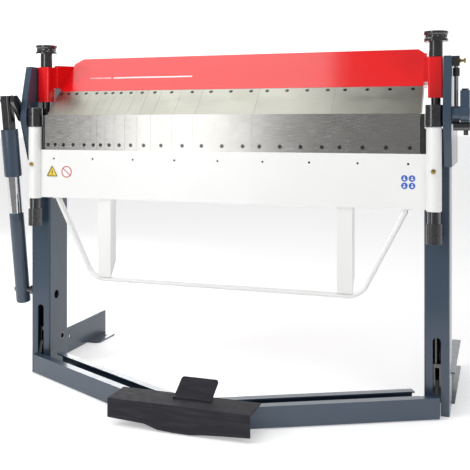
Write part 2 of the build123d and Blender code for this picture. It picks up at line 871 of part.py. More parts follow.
for side, sign in sides:
    # end block: rounded block round the clamp screw, with the ear that joins the beam
    with BuildPart() as end_block:
        with BuildSketch(Plane.XY.offset(end_block_low)):
            with Locations((sign * end_axis_x, clamp_axis_y)):
                RectangleRounded(2 * block_half, 2 * block_half, 5)
        extrude(amount=end_block_high - end_block_low)
        with BuildSketch(Plane.XZ.offset(-(clamp_axis_y + block_half - ear_thickness))):
            with BuildLine():
                block_in = sign * (end_axis_x - block_half + 2)
                beam_in = sign * (beam_half + 0.2)
                Polyline(
                    (block_in, end_block_high),
                    (beam_in, end_block_high + 6),
                    (beam_in, ear_low),
                    (sign * (end_axis_x - block_half - 4), ear_low),
                    (block_in, ear_low - 8),
                    close=True,
                )
            make_face()
        extrude(amount=-ear_thickness)
        with BuildSketch(Plane.YZ.offset(sign * (beam_half + 0.2))):
            with BuildLine():
                Polyline(
                    (clamp_axis_y + block_half - ear_thickness, end_block_high + 6),
                    slope(beam_length - 40, 0),
                    slope(beam_length - 40, beam_skin),
                    slope(beam_step + 40, finger_thickness + beam_skin),
                    (clamp_axis_y + block_half - ear_thickness, ear_low),
                    close=True,
                )
            make_face()
        extrude(amount=sign * ear_thickness)
        with BuildSketch(Plane.XY.offset(end_block_low - 1)):
            with Locations((sign * end_axis_x, clamp_axis_y)):
                Circle(clamp_screw_r + running)
        extrude(amount=end_block_high - end_block_low + 2, mode=Mode.SUBTRACT)
    save(end_block, f"end_block_{side}")

    # clamp screw: hand wheel, sleeve and spindle in one piece
    with BuildPart() as clamp_screw:
        with BuildSketch(Plane.XZ.offset(-clamp_axis_y)):
            with BuildLine():
                centre = sign * end_axis_x
                groove = (knob_high - knob_low) / 2
                Polyline(
                    (centre, spindle_low),
                    (centre + clamp_screw_r, spindle_low),
                    (centre + clamp_screw_r, end_block_high),
                    (centre + sleeve_r - 1.5, end_block_high),
                    (centre + sleeve_r, end_block_high + 1.5),
                    (centre + sleeve_r, knob_low),
                    (centre + knob_r, knob_low),
                    (centre + knob_r, knob_low + 6),
                    (centre + knob_r - 3.5, knob_low + groove - 4),
                    (centre + knob_r - 3.5, knob_low + groove + 4),
                    (centre + knob_r, knob_high - 6),
                    (centre + knob_r, knob_high),
                    (centre, knob_high),
                    close=True,
                )
            make_face()
        revolve(axis=Axis((centre, clamp_axis_y, 0), (0, 0, 1)))
        for index in range(knob_holes):
            turn = 360 * index / knob_holes + 15
            out = Vector(cos(radians(turn)), sin(radians(turn)), 0)
            start = Vector(centre, clamp_axis_y, (knob_low + knob_high) / 2) + out * (knob_r - 12)
            with BuildSketch(Plane(origin=start, z_dir=out)):
                Circle(knob_hole_r)
            extrude(amount=20, mode=Mode.SUBTRACT)
    save(clamp_screw, f"clamp_screw_{side}")

# pull rods inside the columns, forked over the pedal levers
rest_angle = radians(pedal_angle / 2)
rod_pin_y = pedal_axis_y - lever_arm * cos(rest_angle)
rod_pin_z = pedal_axis_z - lever_arm * sin(rest_angle)
with BuildPart() as pull_rods:
    for _side, sign in sides:
        centre = sign * end_axis_x
        with BuildSketch(Plane.XY.offset(coupling_low)):
            with Locations((centre, clamp_axis_y)):
                Circle(19)
        extrude(amount=coupling_high - coupling_low)
        with BuildSketch(Plane.XY.offset(fork_high - 8)):
            with Locations((centre, clamp_axis_y)):
                Circle(10)
        extrude(amount=coupling_low - fork_high + 8)
        with BuildSketch(Plane.XY.offset(spindle_low - 2)):
            with Locations((centre, clamp_axis_y)):
                Circle(clamp_screw_r + running)
        extrude(amount=coupling_high - spindle_low + 3, mode=Mode.SUBTRACT)
        fork_mid = sign * slot_x
        with BuildSketch(Plane.YZ.offset(fork_mid - fork_spread / 2)):
            with BuildLine():
                low = rod_pin_z - 15
                Polyline(
                    (rod_pin_y - 14, low),
                    (rod_pin_y - 14, fork_high),
                    (rod_pin_y + 14, fork_high),
                    (rod_pin_y + 14, low),
                    close=True,
                )
            make_face()
        extrude(amount=fork_spread)
        with BuildSketch(Plane.YZ.offset(fork_mid - fork_gap / 2)):
            with Locations((rod_pin_y, (fork_high - 12 + low) / 2)):
                Rectangle(40, fork_high - 12 - low)
        extrude(amount=fork_gap, mode=Mode.SUBTRACT)
        with BuildSketch(Plane.YZ.offset(fork_mid - fork_spread)):
            with Locations((rod_pin_y, rod_pin_z)):
                SlotOverall(2 * (rod_pin_r + 2.2), 2 * (rod_pin_r + 0.8))
        extrude(amount=2 * fork_spread, mode=Mode.SUBTRACT)
save(pull_rods, "pull_rods")

# ================================================================ pedal
swing = radians(arm_angle)
arm_run = arm_half / cos(swing)
arm_plane = Plane(
    origin=(0, arm_apex_y, arm_ground),
    x_dir=(-sin(swing), cos(swing), 0),
    z_dir=(cos(swing), sin(swing), 0),
)
with BuildPart() as right_arm:
    # lipped channel with its slot on top
    with BuildSketch(arm_plane.offset(-arm_depth)):
        with Locations((arm_depth / 2, arm_height / 2)):
            Rectangle(arm_depth, arm_height)
            Rectangle(arm_depth - 2 * arm_wall, arm_height - 2 * arm_wall, mode=Mode.SUBTRACT)
        with Locations((arm_depth / 2, arm_height)):
            Rectangle(arm_slot, 3 * arm_wall, mode=Mode.SUBTRACT)
    extrude(amount=arm_run + 3 * arm_depth)
    # the rear half stops short of the column
    with BuildSketch(arm_plane.offset(arm_run - arm_notch)):
        with Locations((arm_lip + arm_depth / 2, arm_height / 2)):
            Rectangle(arm_depth, arm_height + 20)
    extrude(amount=4 * arm_depth, mode=Mode.SUBTRACT)
    with BuildSketch(Plane.XY.offset(-10)):
        with Locations((arm_half + 250, arm_apex_y + 350)):
            Rectangle(500, 1400)
        with Locations((-250, arm_apex_y + 350)):
            Rectangle(500, 1400)
    extrude(amount=arm_height + 30, mode=Mode.SUBTRACT)
    # end plate
    end_y = arm_apex_y + arm_half * tan(swing)
    with BuildSketch(Plane.YZ.offset(arm_half)):
        with Locations((end_y + arm_lip / 2 - 1, arm_ground + arm_height / 2)):
            Rectangle(arm_lip + 2, arm_height)
    extrude(amount=-arm_wall)
save(right_arm, "pedal_arm_right")
with BuildPart() as left_arm:
    add(mirror(right_arm.part, about=Plane.YZ))
save(left_arm, "pedal_arm_left")

# toe cover: folded sheet over the apex, its lower edge swelling in the middle
cover_front = arm_apex_y - 6
with BuildPart() as cover:
    with BuildSketch(Plane.XY.offset(cover_top - cover_sheet)):
        with Locations((0, cover_front + cover_depth / 2)):
            Rectangle(2 * cover_half, cover_depth)
    extrude(amount=cover_sheet)
    with BuildSketch(Plane.XZ.offset(-cover_front)):
        with BuildLine():
            Polyline(
                (40, 3), (84, 8), (140, 12), (cover_half, 16),
                (cover_half, cover_top), (-cover_half, cover_top),
                (-cover_half, 24), (-100, 18), (-60, 6), (-10, 3),
                close=True,
            )
        make_face()
    extrude(amount=-cover_sheet)
    fold = cover.edges().filter_by(Axis.X).group_by(Axis.Z)[-1].sort_by(Axis.Y)[0]
    fillet(fold, 4)
    for pad_x in (-110, 110):
        with BuildSketch(Plane.XY.offset(arm_ground + arm_height)):
            with Locations((pad_x, cover_front + cover_depth - 22)):
                Rectangle(60, 30)
        extrude(amount=cover_top - cover_sheet - arm_ground - arm_height)
save(cover, "toe_cover")

# heel tab: plate rising to the rear
tilt = radians(tab_tilt)
with BuildPart() as tab:
    tab_plane = Plane(
        origin=(tab_x, cover_front + 72, cover_top),
        x_dir=(1, 0, 0),
        z_dir=(0, -sin(tilt), cos(tilt)),
    )
    with BuildSketch(tab_plane):
        with Locations((0, tab_length / 2)):
            RectangleRounded(tab_width, tab_length, 9)
    extrude(amount=cover_sheet)
    with BuildSketch(Plane.XY.offset(cover_top)):
        with Locations((tab_x, cover_front + 66)):
            Rectangle(tab_width, 18)
    extrude(amount=cover_sheet)
    with BuildSketch(Plane.XY.offset(cover_top - 50)):
        with Locations((tab_x, cover_front + 66)):
            Rectangle(400, 200)
    extrude(amount=50, mode=Mode.SUBTRACT)
save(tab, "heel_tab")

# levers: plates from the arms through the column slots to the pedal pins
lever_front = face_y + 13.0
with BuildPart() as levers:
    for _side, sign in sides:
        centre = sign * slot_x
        with BuildSketch(Plane.YZ.offset(centre - lever_thickness / 2)):
            with BuildLine():
                Polyline(
                    (lever_front, arm_ground + arm_wall),
                    (lever_front, arm_height - 6),
                    (lever_front + 22.5, arm_height - 6),
                    (rod_pin_y - 22, rod_pin_z + 12),
                    (rod_pin_y, rod_pin_z + 16),
                    (pedal_axis_y, pedal_axis_z + 22),
                    (pedal_axis_y, pedal_axis_z - 22),
                    (rod_pin_y, rod_pin_z - 34),
                    (lever_front + 26, arm_ground + arm_wall),
                    close=True,
                )
            make_face()
            with Locations((pedal_axis_y, pedal_axis_z)):
                Circle(22)
        extrude(amount=lever_thickness)
        with BuildSketch(Plane.YZ.offset(centre - lever_boss / 2)):
            with Locations((pedal_axis_y, pedal_axis_z)):
                Circle(20)
        extrude(amount=lever_boss)
        with BuildSketch(Plane.YZ.offset(centre - column_width)):
            with Locations((pedal_axis_y, pedal_axis_z)):
                Circle(pedal_pin_r + running)
        extrude(amount=2 * column_width, mode=Mode.SUBTRACT)
        with BuildSketch(Plane.YZ.offset(centre - fork_spread / 2 - 2)):
            with Locations((rod_pin_y, rod_pin_z)):
                Circle(rod_pin_r)
        extrude(amount=fork_spread + 4)
save(levers, "pedal_levers")

# ================================================================ counterbalance strut
top_y = axis_y + crank_y
top_z = axis_z + crank_z
strut_length = hypot(strut_foot_y - top_y, strut_foot_z - top_z)
strut_down = Vector(0, strut_foot_y - top_y, strut_foot_z - top_z).normalized()


def strut_plane(distance):
    """Plane square to the strut, at a distance below the crank pin."""
    origin = Vector(strut_x, top_y, top_z) + strut_down * distance
    return Plane(origin=origin, x_dir=(1, 0, 0), z_dir=strut_down)


with BuildPart() as fork:
    with BuildSketch(strut_plane(-fork_half)):
        RectangleRounded(2 * fork_half, 2 * fork_half, 8)
    extrude(amount=fork_half + sleeve_start)
    with BuildSketch(Plane.YZ.offset(strut_x - 2 * fork_half)):
        with Locations((top_y, top_z)):
            Circle(crank_pin_r + running)
    extrude(amount=4 * fork_half, mode=Mode.SUBTRACT)
save(fork, "strut_fork")

with BuildPart() as sleeve:
    with BuildSketch(strut_plane(sleeve_start)):
        Circle(strut_sleeve_r)
    extrude(amount=sleeve_end - sleeve_start)
    chamfer(sleeve.edges().filter_by(GeomType.CIRCLE), 2)
    with BuildSketch(strut_plane(sleeve_end - 20)):
        Circle(strut_rod_r)
    extrude(amount=21, mode=Mode.SUBTRACT)
save(sleeve, "strut_sleeve")

with BuildPart() as strut_rod:
    with BuildSketch(strut_plane(sleeve_end - 20)):
        Circle(strut_rod_r)
    extrude(amount=rod_end - sleeve_end + 20)
save(strut_rod, "strut_rod")

with BuildPart() as strut_tube:
    with BuildSketch(strut_plane(tube_start)):
        Circle(strut_tube_r)
        Circle(strut_rod_r + running, mode=Mode.SUBTRACT)
    extrude(amount=tube_floor - tube_start)
    with BuildSketch(strut_plane(tube_floor)):
        Circle(strut_tube_r)
    extrude(amount=strut_length + tube_tail - tube_floor)
    chamfer(strut_tube.edges().filter_by(GeomType.CIRCLE).sort_by(Axis.Z)[:1], 3)
    with BuildSketch(Plane.YZ.offset(strut_x - 2 * strut_tube_r)):
        with Locations((strut_foot_y, strut_foot_z)):
            Circle(foot_pin_r)
    extrude(amount=4 * strut_tube_r, mode=Mode.SUBTRACT)
save(strut_tube, "strut_tube")

with BuildPart() as foot_pin:
    with BuildSketch(Plane.YZ.offset(strut_x - strut_tube_r - 3)):
        with Locations((strut_foot_y, strut_foot_z)):
            Circle(foot_pin_r)
    extrude(amount=-strut_x + strut_tube_r + 3 - column_outer - 0.3)
    with BuildSketch(Plane.YZ.offset(-column_outer - 12)):
        with Locations((strut_foot_y, strut_foot_z)):
            Circle(foot_pin_r + 5)
    extrude(amount=11.7)
save(foot_pin, "strut_foot_pin")

# ================================================================ angle stop
guide_spots = ((guide_high_low, end_block_high), (guide_low_low, guide_low_low + 20))
with BuildPart() as guides:
    for low, high in guide_spots:
        with BuildSketch(Plane.XY.offset(low)):
            with Locations(((cheek_outer + guide_outer) / 2, stop_y)):
                Rectangle(guide_outer - cheek_outer, 24)
            with Locations((stop_x, stop_y)):
                Circle(stop_rod_r, mode=Mode.SUBTRACT)
        extrude(amount=high - low)
    with BuildSketch(Plane.YZ.offset(guide_outer)):
        with Locations((stop_y, thumb_z)):
            Circle(4 + running)
    extrude(amount=-(guide_outer - stop_x), mode=Mode.SUBTRACT)
save(guides, "stop_guides")

with BuildPart() as stop_rod:
    with BuildSketch(Plane.XY.offset(guide_low_low)):
        with Locations((stop_x, stop_y)):
            Circle(stop_rod_r)
    extrude(amount=end_block_high - 2 - guide_low_low)
    chamfer(stop_rod.edges().filter_by(GeomType.CIRCLE), 1)
save(stop_rod, "stop_rod")

with BuildPart() as collar:
    with BuildSketch(Plane.XY.offset(collar_low)):
        with Locations((stop_x, stop_y)):
            Circle(10)
            Circle(stop_rod_r + running, mode=Mode.SUBTRACT)
    extrude(amount=collar_height)
save(collar, "stop_collar")

with BuildPart() as thumb:
    for start, end, radius in (
        (stop_x + stop_rod_r + 0.2, guide_outer + 12, 4),
        (guide_outer + 0.3, guide_outer + 3, 7),
        (guide_outer + 12, guide_outer + 17, 7.5),
    ):
        with BuildSketch(Plane.YZ.offset(start)):
            with Locations((stop_y, thumb_z)):
                Circle(radius)
        extrude(amount=end - start)
save(thumb, "thumb_screw")
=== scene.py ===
"""Looks of a foot-operated box and pan brake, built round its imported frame.

Everything is in metres, in the frame's own axes: X along the blades to the operator's
right, Y away from the operator and Z up, with the floor at Z = 0.
"""

import logging
import math
from collections.abc import Callable, Iterable, Sequence
from dataclasses import dataclass
from enum import Enum

import bpy
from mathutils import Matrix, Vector

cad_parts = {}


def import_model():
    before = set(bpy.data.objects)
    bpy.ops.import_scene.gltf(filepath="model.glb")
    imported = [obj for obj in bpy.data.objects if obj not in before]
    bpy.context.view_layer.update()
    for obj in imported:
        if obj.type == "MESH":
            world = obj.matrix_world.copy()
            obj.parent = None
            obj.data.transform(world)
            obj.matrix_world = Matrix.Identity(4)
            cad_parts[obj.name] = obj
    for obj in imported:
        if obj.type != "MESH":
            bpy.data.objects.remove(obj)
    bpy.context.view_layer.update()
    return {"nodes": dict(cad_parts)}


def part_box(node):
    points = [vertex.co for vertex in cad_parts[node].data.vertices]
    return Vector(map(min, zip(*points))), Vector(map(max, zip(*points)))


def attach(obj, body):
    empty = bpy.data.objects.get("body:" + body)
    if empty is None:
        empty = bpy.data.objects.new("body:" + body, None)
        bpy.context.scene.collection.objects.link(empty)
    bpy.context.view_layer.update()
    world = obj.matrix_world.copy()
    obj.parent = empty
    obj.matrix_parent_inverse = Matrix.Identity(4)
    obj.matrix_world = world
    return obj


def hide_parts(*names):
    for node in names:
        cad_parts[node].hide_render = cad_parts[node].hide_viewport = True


log = logging.getLogger("box_and_pan_brake")
MM = 0.001
Colour = tuple[float, float, float]
Point = tuple[float, float, float]


class Slot(Enum):
    """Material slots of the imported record."""

    FRAME = "frame_paint"
    WHITE = "white_paint"
    RED = "red_paint"
    BLADE = "blade_steel"
    FINGER = "finger_steel"
    BLACK = "black_oxide"
    CHROME = "chrome"
    BRASS = "brass"
    PEDAL = "pedal_black"
    BUSH = "bush_bronze"


class Side(Enum):
    """The two ends of the machine, with the sign of their X."""

    LEFT = -1
    RIGHT = 1

    @property
    def word(self) -> str:
        """Name of the side as the frame's nodes spell it."""
        return self.name.lower()


# ---------------------------------------------------------------- finishes
class Recipe:
    """Node tree of one finish, built round a single Principled shader."""

    def __init__(self, name: str) -> None:
        """Start an empty finish.

        Args:
            name: name of the material.
        """
        self.material = bpy.data.materials.new(name)
        self.material.use_nodes = True
        self.tree = self.material.node_tree
        self.shader = self.tree.nodes["Principled BSDF"]
        self.place = self.add("ShaderNodeTexCoord").outputs["Object"]

    def add(self, kind: str) -> bpy.types.Node:
        """Add one node of the given kind."""
        return self.tree.nodes.new(kind)

    def link(self, source: bpy.types.NodeSocket, target: bpy.types.NodeSocket) -> None:
        """Join two sockets."""
        self.tree.links.new(source, target)

    def fix(self, **values: float | tuple) -> None:
        """Set the shader's own sockets, named with underscores for spaces."""
        for name, value in values.items():
            label = name.replace("_", " ").title().replace("Ior", "IOR")
            self.shader.inputs[label].default_value = value

    def noise(
        self, scale: float, detail: float = 2.0, stretch: Point = (1, 1, 1)
    ) -> bpy.types.NodeSocket:
        """Noise on the piece's own coordinates.

        Args:
            scale: repeats per metre.
            detail: octaves.
            stretch: factor on each axis; below 1 draws the pattern out.

        Returns:
            The noise value, from 0 to 1.
        """
        mapping = self.add("ShaderNodeMapping")
        mapping.inputs["Scale"].default_value = stretch
        texture = self.add("ShaderNodeTexNoise")
        texture.inputs["Scale"].default_value = scale
        texture.inputs["Detail"].default_value = detail
        self.link(self.place, mapping.inputs["Vector"])
        self.link(mapping.outputs["Vector"], texture.inputs["Vector"])
        return texture.outputs["Fac"]

    def remap(
        self, value: bpy.types.NodeSocket, start: float, end: float, low: float, high: float
    ) -> bpy.types.NodeSocket:
        """Stretch a value from start..end to low..high, clamped."""
        node = self.add("ShaderNodeMapRange")
        node.inputs["From Min"].default_value = start
        node.inputs["From Max"].default_value = end
        node.inputs["To Min"].default_value = low
        node.inputs["To Max"].default_value = high
        self.link(value, node.inputs["Value"])
        return node.outputs["Result"]

    def maths(
        self, kind: str, first: bpy.types.NodeSocket, second: bpy.types.NodeSocket | float
    ) -> bpy.types.NodeSocket:
        """Combine two values.

        Args:
            kind: the operation, as Blender names it.
            first: a value.
            second: a value or a number.

        Returns:
            The result.
        """
        node = self.add("ShaderNodeMath")
        node.operation = kind
        self.link(first, node.inputs[0])
        if isinstance(second, (int, float)):
            node.inputs[1].default_value = second
        else:
            self.link(second, node.inputs[1])
        return node.outputs["Value"]

    def mix(
        self,
        factor: bpy.types.NodeSocket,
        first: bpy.types.NodeSocket | Colour,
        second: bpy.types.NodeSocket | Colour,
    ) -> bpy.types.NodeSocket:
        """Mix two colours by a factor and return the result."""
        node = self.add("ShaderNodeMix")
        node.data_type = "RGBA"
        self.link(factor, node.inputs["Factor"])
        for colour, socket in ((first, node.inputs[6]), (second, node.inputs[7])):
            if isinstance(colour, tuple):
                socket.default_value = (*colour, 1)
            else:
                self.link(colour, socket)
        return node.outputs[2]

    def edges(self, radius: float) -> bpy.types.NodeSocket:
        """Mask that is 1 along worn edges and 0 elsewhere.

        Args:
            radius: reach of the wear from the edge.

        Returns:
            The mask.
        """
        bevel = self.add("ShaderNodeBevel")
        bevel.samples = 4
        bevel.inputs["Radius"].default_value = radius
        geometry = self.add("ShaderNodeNewGeometry")
        product = self.add("ShaderNodeVectorMath")
        product.operation = "DOT_PRODUCT"
        self.link(bevel.outputs["Normal"], product.inputs[0])
        self.link(geometry.outputs["Normal"], product.inputs[1])
        return self.remap(product.outputs["Value"], 0.995, 0.86, 0.0, 1.0)

    def island(self) -> bpy.types.NodeSocket:
        """A value from 0 to 1 that differs from one separate bar to the next."""
        return self.add("ShaderNodeNewGeometry").outputs["Random Per Island"]

    def bump(self, height: bpy.types.NodeSocket, depth: float, strength: float = 1.0) -> None:
        """Raise the surface by a height pattern.

        Args:
            height: the pattern, from 0 to 1.
            depth: its depth in metres.
            strength: how much of it shows.
        """
        node = self.add("ShaderNodeBump")
        node.inputs["Distance"].default_value = depth
        node.inputs["Strength"].default_value = strength
        self.link(height, node.inputs["Height"])
        self.link(node.outputs["Normal"], self.shader.inputs["Normal"])

    def colour(self, value: bpy.types.NodeSocket) -> None:
        """Use a colour as the base colour."""
        self.link(value, self.shader.inputs["Base Color"])

    def roughness(self, value: bpy.types.NodeSocket) -> None:
        """Use a value as the roughness."""
        self.link(value, self.shader.inputs["Roughness"])


@dataclass(frozen=True)
class Paint:
    """Sprayed enamel with orange peel, faint dust and rubbed edges."""

    name: str
    tone: Colour
    faded: Colour
    rubbed: Colour
    gloss: tuple[float, float] = (0.28, 0.4)
    wear: float = 0.5
    coat: float = 0.25
    shine: float = 0.5

    def build(self) -> bpy.types.Material:
        """Make the material."""
        mixer = Recipe(self.name)
        clouds = mixer.remap(mixer.noise(5, 3), 0.35, 0.7, 0, 1)
        body = mixer.mix(clouds, self.tone, self.faded)
        chips = mixer.remap(mixer.noise(160, 4), 0.42, 0.62, 0, 1)
        rub = mixer.maths("MULTIPLY", mixer.edges(1.6 * MM), chips)
        rub = mixer.maths("MULTIPLY", rub, self.wear)
        mixer.colour(mixer.mix(rub, body, self.rubbed))
        smears = mixer.noise(28, 5, (1, 1, 0.4))
        mixer.roughness(mixer.remap(smears, 0.3, 0.75, *self.gloss))
        mixer.bump(mixer.noise(650, 2), 0.03 * MM, 0.35)
        mixer.fix(coat_weight=self.coat, coat_roughness=0.12)
        mixer.fix(specular_ior_level=self.shine)
        return mixer.material


@dataclass(frozen=True)
class GroundSteel:
    """Surface-ground bar: long grinding lines, and a tone of its own for each bar."""

    name: str
    tone: Colour
    dark: Colour
    gloss: tuple[float, float] = (0.26, 0.42)
    lay: Point = (0.03, 1, 1)

    def build(self) -> bpy.types.Material:
        """Make the material."""
        mixer = Recipe(self.name)
        lines = mixer.noise(900, 3, self.lay)
        stains = mixer.remap(mixer.noise(14, 5), 0.4, 0.75, 0, 0.55)
        bars = mixer.maths("MULTIPLY", mixer.island(), 0.14)
        shade = mixer.maths("ADD", stains, bars)
        ground = mixer.mix(shade, self.tone, self.dark)
        bright: Colour = tuple(min(1.0, part * 1.6) for part in self.tone)
        scored = mixer.remap(lines, 0.35, 0.7, 0, 0.3)
        ground = mixer.mix(scored, ground, bright)
        edge = mixer.maths("MULTIPLY", mixer.edges(1.0 * MM), 0.6)
        mixer.colour(mixer.mix(edge, ground, bright))
        mixer.roughness(mixer.remap(lines, 0.3, 0.7, *self.gloss))
        mixer.bump(lines, 0.02 * MM, 0.3)
        mixer.fix(metallic=1.0, anisotropic=0.35)
        return mixer.material


@dataclass(frozen=True)
class Blacked:
    """Oil-blacked steel, with bare metal showing on its corners."""

    name: str
    tone: Colour
    bare: Colour
    gloss: tuple[float, float] = (0.2, 0.3)
    wear: float = 0.25

    def build(self) -> bpy.types.Material:
        """Make the material."""
        mixer = Recipe(self.name)
        blotches = mixer.remap(mixer.noise(60, 4), 0.35, 0.7, 0, 1)
        lifted: Colour = tuple(part * 1.4 for part in self.tone)
        body = mixer.mix(blotches, self.tone, lifted)
        nicks = mixer.remap(mixer.noise(420, 3), 0.4, 0.65, 0, 1)
        rub = mixer.maths("MULTIPLY", mixer.edges(0.8 * MM), nicks)
        rub = mixer.maths("MULTIPLY", rub, self.wear)
        mixer.colour(mixer.mix(rub, body, self.bare))
        mixer.roughness(mixer.remap(blotches, 0, 1, *self.gloss))
        mixer.bump(mixer.noise(700, 2), 0.01 * MM, 0.04)
        mixer.fix(specular_ior_level=1.0, coat_weight=1.0, coat_roughness=0.14)
        return mixer.material


@dataclass(frozen=True)
class BareMetal:
    """Polished or cast metal with fine scratches and dull patches."""

    name: str
    tone: Colour
    dull: Colour
    gloss: tuple[float, float]
    lay: Point = (1, 1, 1)

    def build(self) -> bpy.types.Material:
        """Make the material."""
        mixer = Recipe(self.name)
        scratches = mixer.noise(1100, 3, self.lay)
        patches = mixer.remap(mixer.noise(45, 4), 0.4, 0.75, 0, 0.8)
        mixer.colour(mixer.mix(patches, self.tone, self.dull))
        mixer.roughness(mixer.remap(scratches, 0.3, 0.75, *self.gloss))
        mixer.bump(scratches, 0.01 * MM, 0.25)
        mixer.fix(metallic=1.0)
        return mixer.material


@dataclass(frozen=True)
class ScuffedSheet:
    """Dark powder coat of the treadle, scuffed along its length by shoes."""

    name: str
    tone: Colour
    scuff: Colour
    lay: Point = (0.12, 1, 1)

    def build(self) -> bpy.types.Material:
        """Make the material."""
        mixer = Recipe(self.name)
        streaks = mixer.remap(mixer.noise(90, 4, self.lay), 0.45, 0.8, 0, 0.3)
        body = mixer.mix(streaks, self.tone, self.scuff)
        folds = mixer.maths("MULTIPLY", mixer.edges(3.0 * MM), 0.35)
        mixer.colour(mixer.mix(folds, body, self.scuff))
        mixer.roughness(mixer.remap(mixer.noise(40, 4), 0.3, 0.7, 0.5, 0.62))
        mixer.bump(mixer.noise(1500, 3), 0.05 * MM, 0.4)
        mixer.fix(specular_ior_level=0.04)
        return mixer.material


@dataclass(frozen=True)
class Vinyl:
    """Printed vinyl with slightly uneven ink."""

    name: str
    tone: Colour
    thin: Colour

    def build(self) -> bpy.types.Material:
        """Make the material."""
        mixer = Recipe(self.name)
        ink = mixer.remap(mixer.noise(320, 4), 0.45, 0.75, 0, 0.5)
        mixer.colour(mixer.mix(ink, self.tone, self.thin))
        mixer.roughness(mixer.remap(mixer.noise(90, 2), 0.3, 0.7, 0.3, 0.45))
        mixer.bump(mixer.noise(500, 2), 0.02 * MM, 0.3)
        return mixer.material


@dataclass(frozen=True)
class StudioFloor:
    """Pale seamless floor with a barely visible grain."""

    name: str = "studio_floor"
    tone: Colour = (0.94, 0.94, 0.94)
    grain: Colour = (0.92, 0.92, 0.925)
    glow: float = 0.4

    def build(self) -> bpy.types.Material:
        """Make the material."""
        mixer = Recipe(self.name)
        mixer.colour(mixer.mix(mixer.noise(2, 3), self.tone, self.grain))
        mixer.fix(roughness=0.6, emission_color=(1, 1, 1, 1), emission_strength=self.glow)
        return mixer.material


FINISHES = {
    Slot.FRAME: Paint(
        "slate_enamel", (0.033, 0.057, 0.092), (0.041, 0.066, 0.104), (0.2, 0.23, 0.26),
        gloss=(0.3, 0.4), wear=0.35, coat=0.45, shine=0.5,
    ),
    Slot.WHITE: Paint(
        "white_enamel", (0.88, 0.88, 0.868), (0.86, 0.86, 0.85), (0.66, 0.66, 0.64),
        wear=0.3, coat=0.2,
    ),
    Slot.RED: Paint(
        "red_enamel", (0.84, 0.001, 0.003), (0.77, 0.001, 0.005), (0.95, 0.18, 0.15),
        gloss=(0.14, 0.2), wear=0.4, coat=0.0, shine=0.9,
    ),
    Slot.BLADE: GroundSteel(
        "blade_ground_steel", (0.46, 0.45, 0.435), (0.36, 0.35, 0.33), gloss=(0.2, 0.28),
    ),
    Slot.FINGER: GroundSteel(
        "finger_ground_steel", (0.5, 0.5, 0.44), (0.42, 0.42, 0.36), gloss=(0.3, 0.42),
    ),
    Slot.BLACK: Blacked("oil_black", (0.007, 0.007, 0.009), (0.3, 0.29, 0.28)),
    Slot.CHROME: BareMetal(
        "polished_chrome", (0.78, 0.78, 0.8), (0.66, 0.66, 0.68), (0.06, 0.16), (1, 1, 0.05)
    ),
    Slot.BRASS: BareMetal("turned_brass", (0.58, 0.42, 0.14), (0.36, 0.25, 0.08), (0.22, 0.4)),
    Slot.PEDAL: ScuffedSheet("treadle_black", (0.034, 0.033, 0.039), (0.095, 0.093, 0.105)),
    Slot.BUSH: BareMetal("bush_bronze", (0.5, 0.3, 0.14), (0.3, 0.18, 0.09), (0.28, 0.45)),
}
YELLOW = Vinyl("vinyl_yellow", (0.82, 0.6, 0.03), (0.9, 0.72, 0.2))
INK = Vinyl("vinyl_black", (0.02, 0.02, 0.02), (0.07, 0.07, 0.07))
OLIVE = Vinyl("vinyl_olive", (0.3, 0.24, 0.06), (0.42, 0.34, 0.1))
SIGNAL_RED = Vinyl("vinyl_red", (0.5, 0.012, 0.03), (0.6, 0.07, 0.09))
BLUE = Vinyl("vinyl_blue", (0.02, 0.1, 0.55), (0.06, 0.18, 0.65))
VINYL_WHITE = Vinyl("vinyl_white", (0.88, 0.88, 0.88), (0.8, 0.8, 0.8))


class PaintShop:
    """Makes each finish once and hands it out."""

    def __init__(self) -> None:
        """Start with no finishes made."""
        self.made: dict[str, bpy.types.Material] = {}

    def get(self, finish: object) -> bpy.types.Material:
        """Return the material of a finish, making it the first time."""
        if finish.name not in self.made:
            self.made[finish.name] = finish.build()
        return self.made[finish.name]

    def of(self, slot: Slot) -> bpy.types.Material:
        """Return the material of one of the record's slots."""
        return self.get(FINISHES[slot])


# ---------------------------------------------------------------- bench work
def clear_selection() -> None:
    """Leave edit mode and deselect everything."""
    if bpy.context.mode != "OBJECT":
        bpy.ops.object.mode_set(mode="OBJECT")
    bpy.ops.object.select_all(action="DESELECT")


def name_active(name: str) -> bpy.types.Object:
    """Name the active object and its mesh, and return it."""
    piece = bpy.context.active_object
    piece.name = name
    piece.data.name = name
    return piece


def make_active(piece: bpy.types.Object) -> None:
    """Select one piece only and make it active."""
    clear_selection()
    piece.select_set(True)
    bpy.context.view_layer.objects.active = piece


def settle(piece: bpy.types.Object, place: Point, turn: Point = (0, 0, 0)) -> None:
    """Turn and move a piece, and put its place into its mesh.

    Args:
        piece: the piece, built round the origin.
        place: where its origin goes.
        turn: Euler angles in radians.
    """
    make_active(piece)
    piece.rotation_euler = turn
    piece.location = place
    bpy.ops.object.transform_apply(location=True, rotation=True, scale=True)


def recalculate(piece: bpy.types.Object) -> None:
    """Merge doubled points and turn every face outwards."""
    make_active(piece)
    bpy.ops.object.mode_set(mode="EDIT")
    bpy.ops.mesh.select_all(action="SELECT")
    bpy.ops.mesh.remove_doubles(threshold=1e-6)
    bpy.ops.mesh.normals_make_consistent(inside=False)
    bpy.ops.object.mode_set(mode="OBJECT")


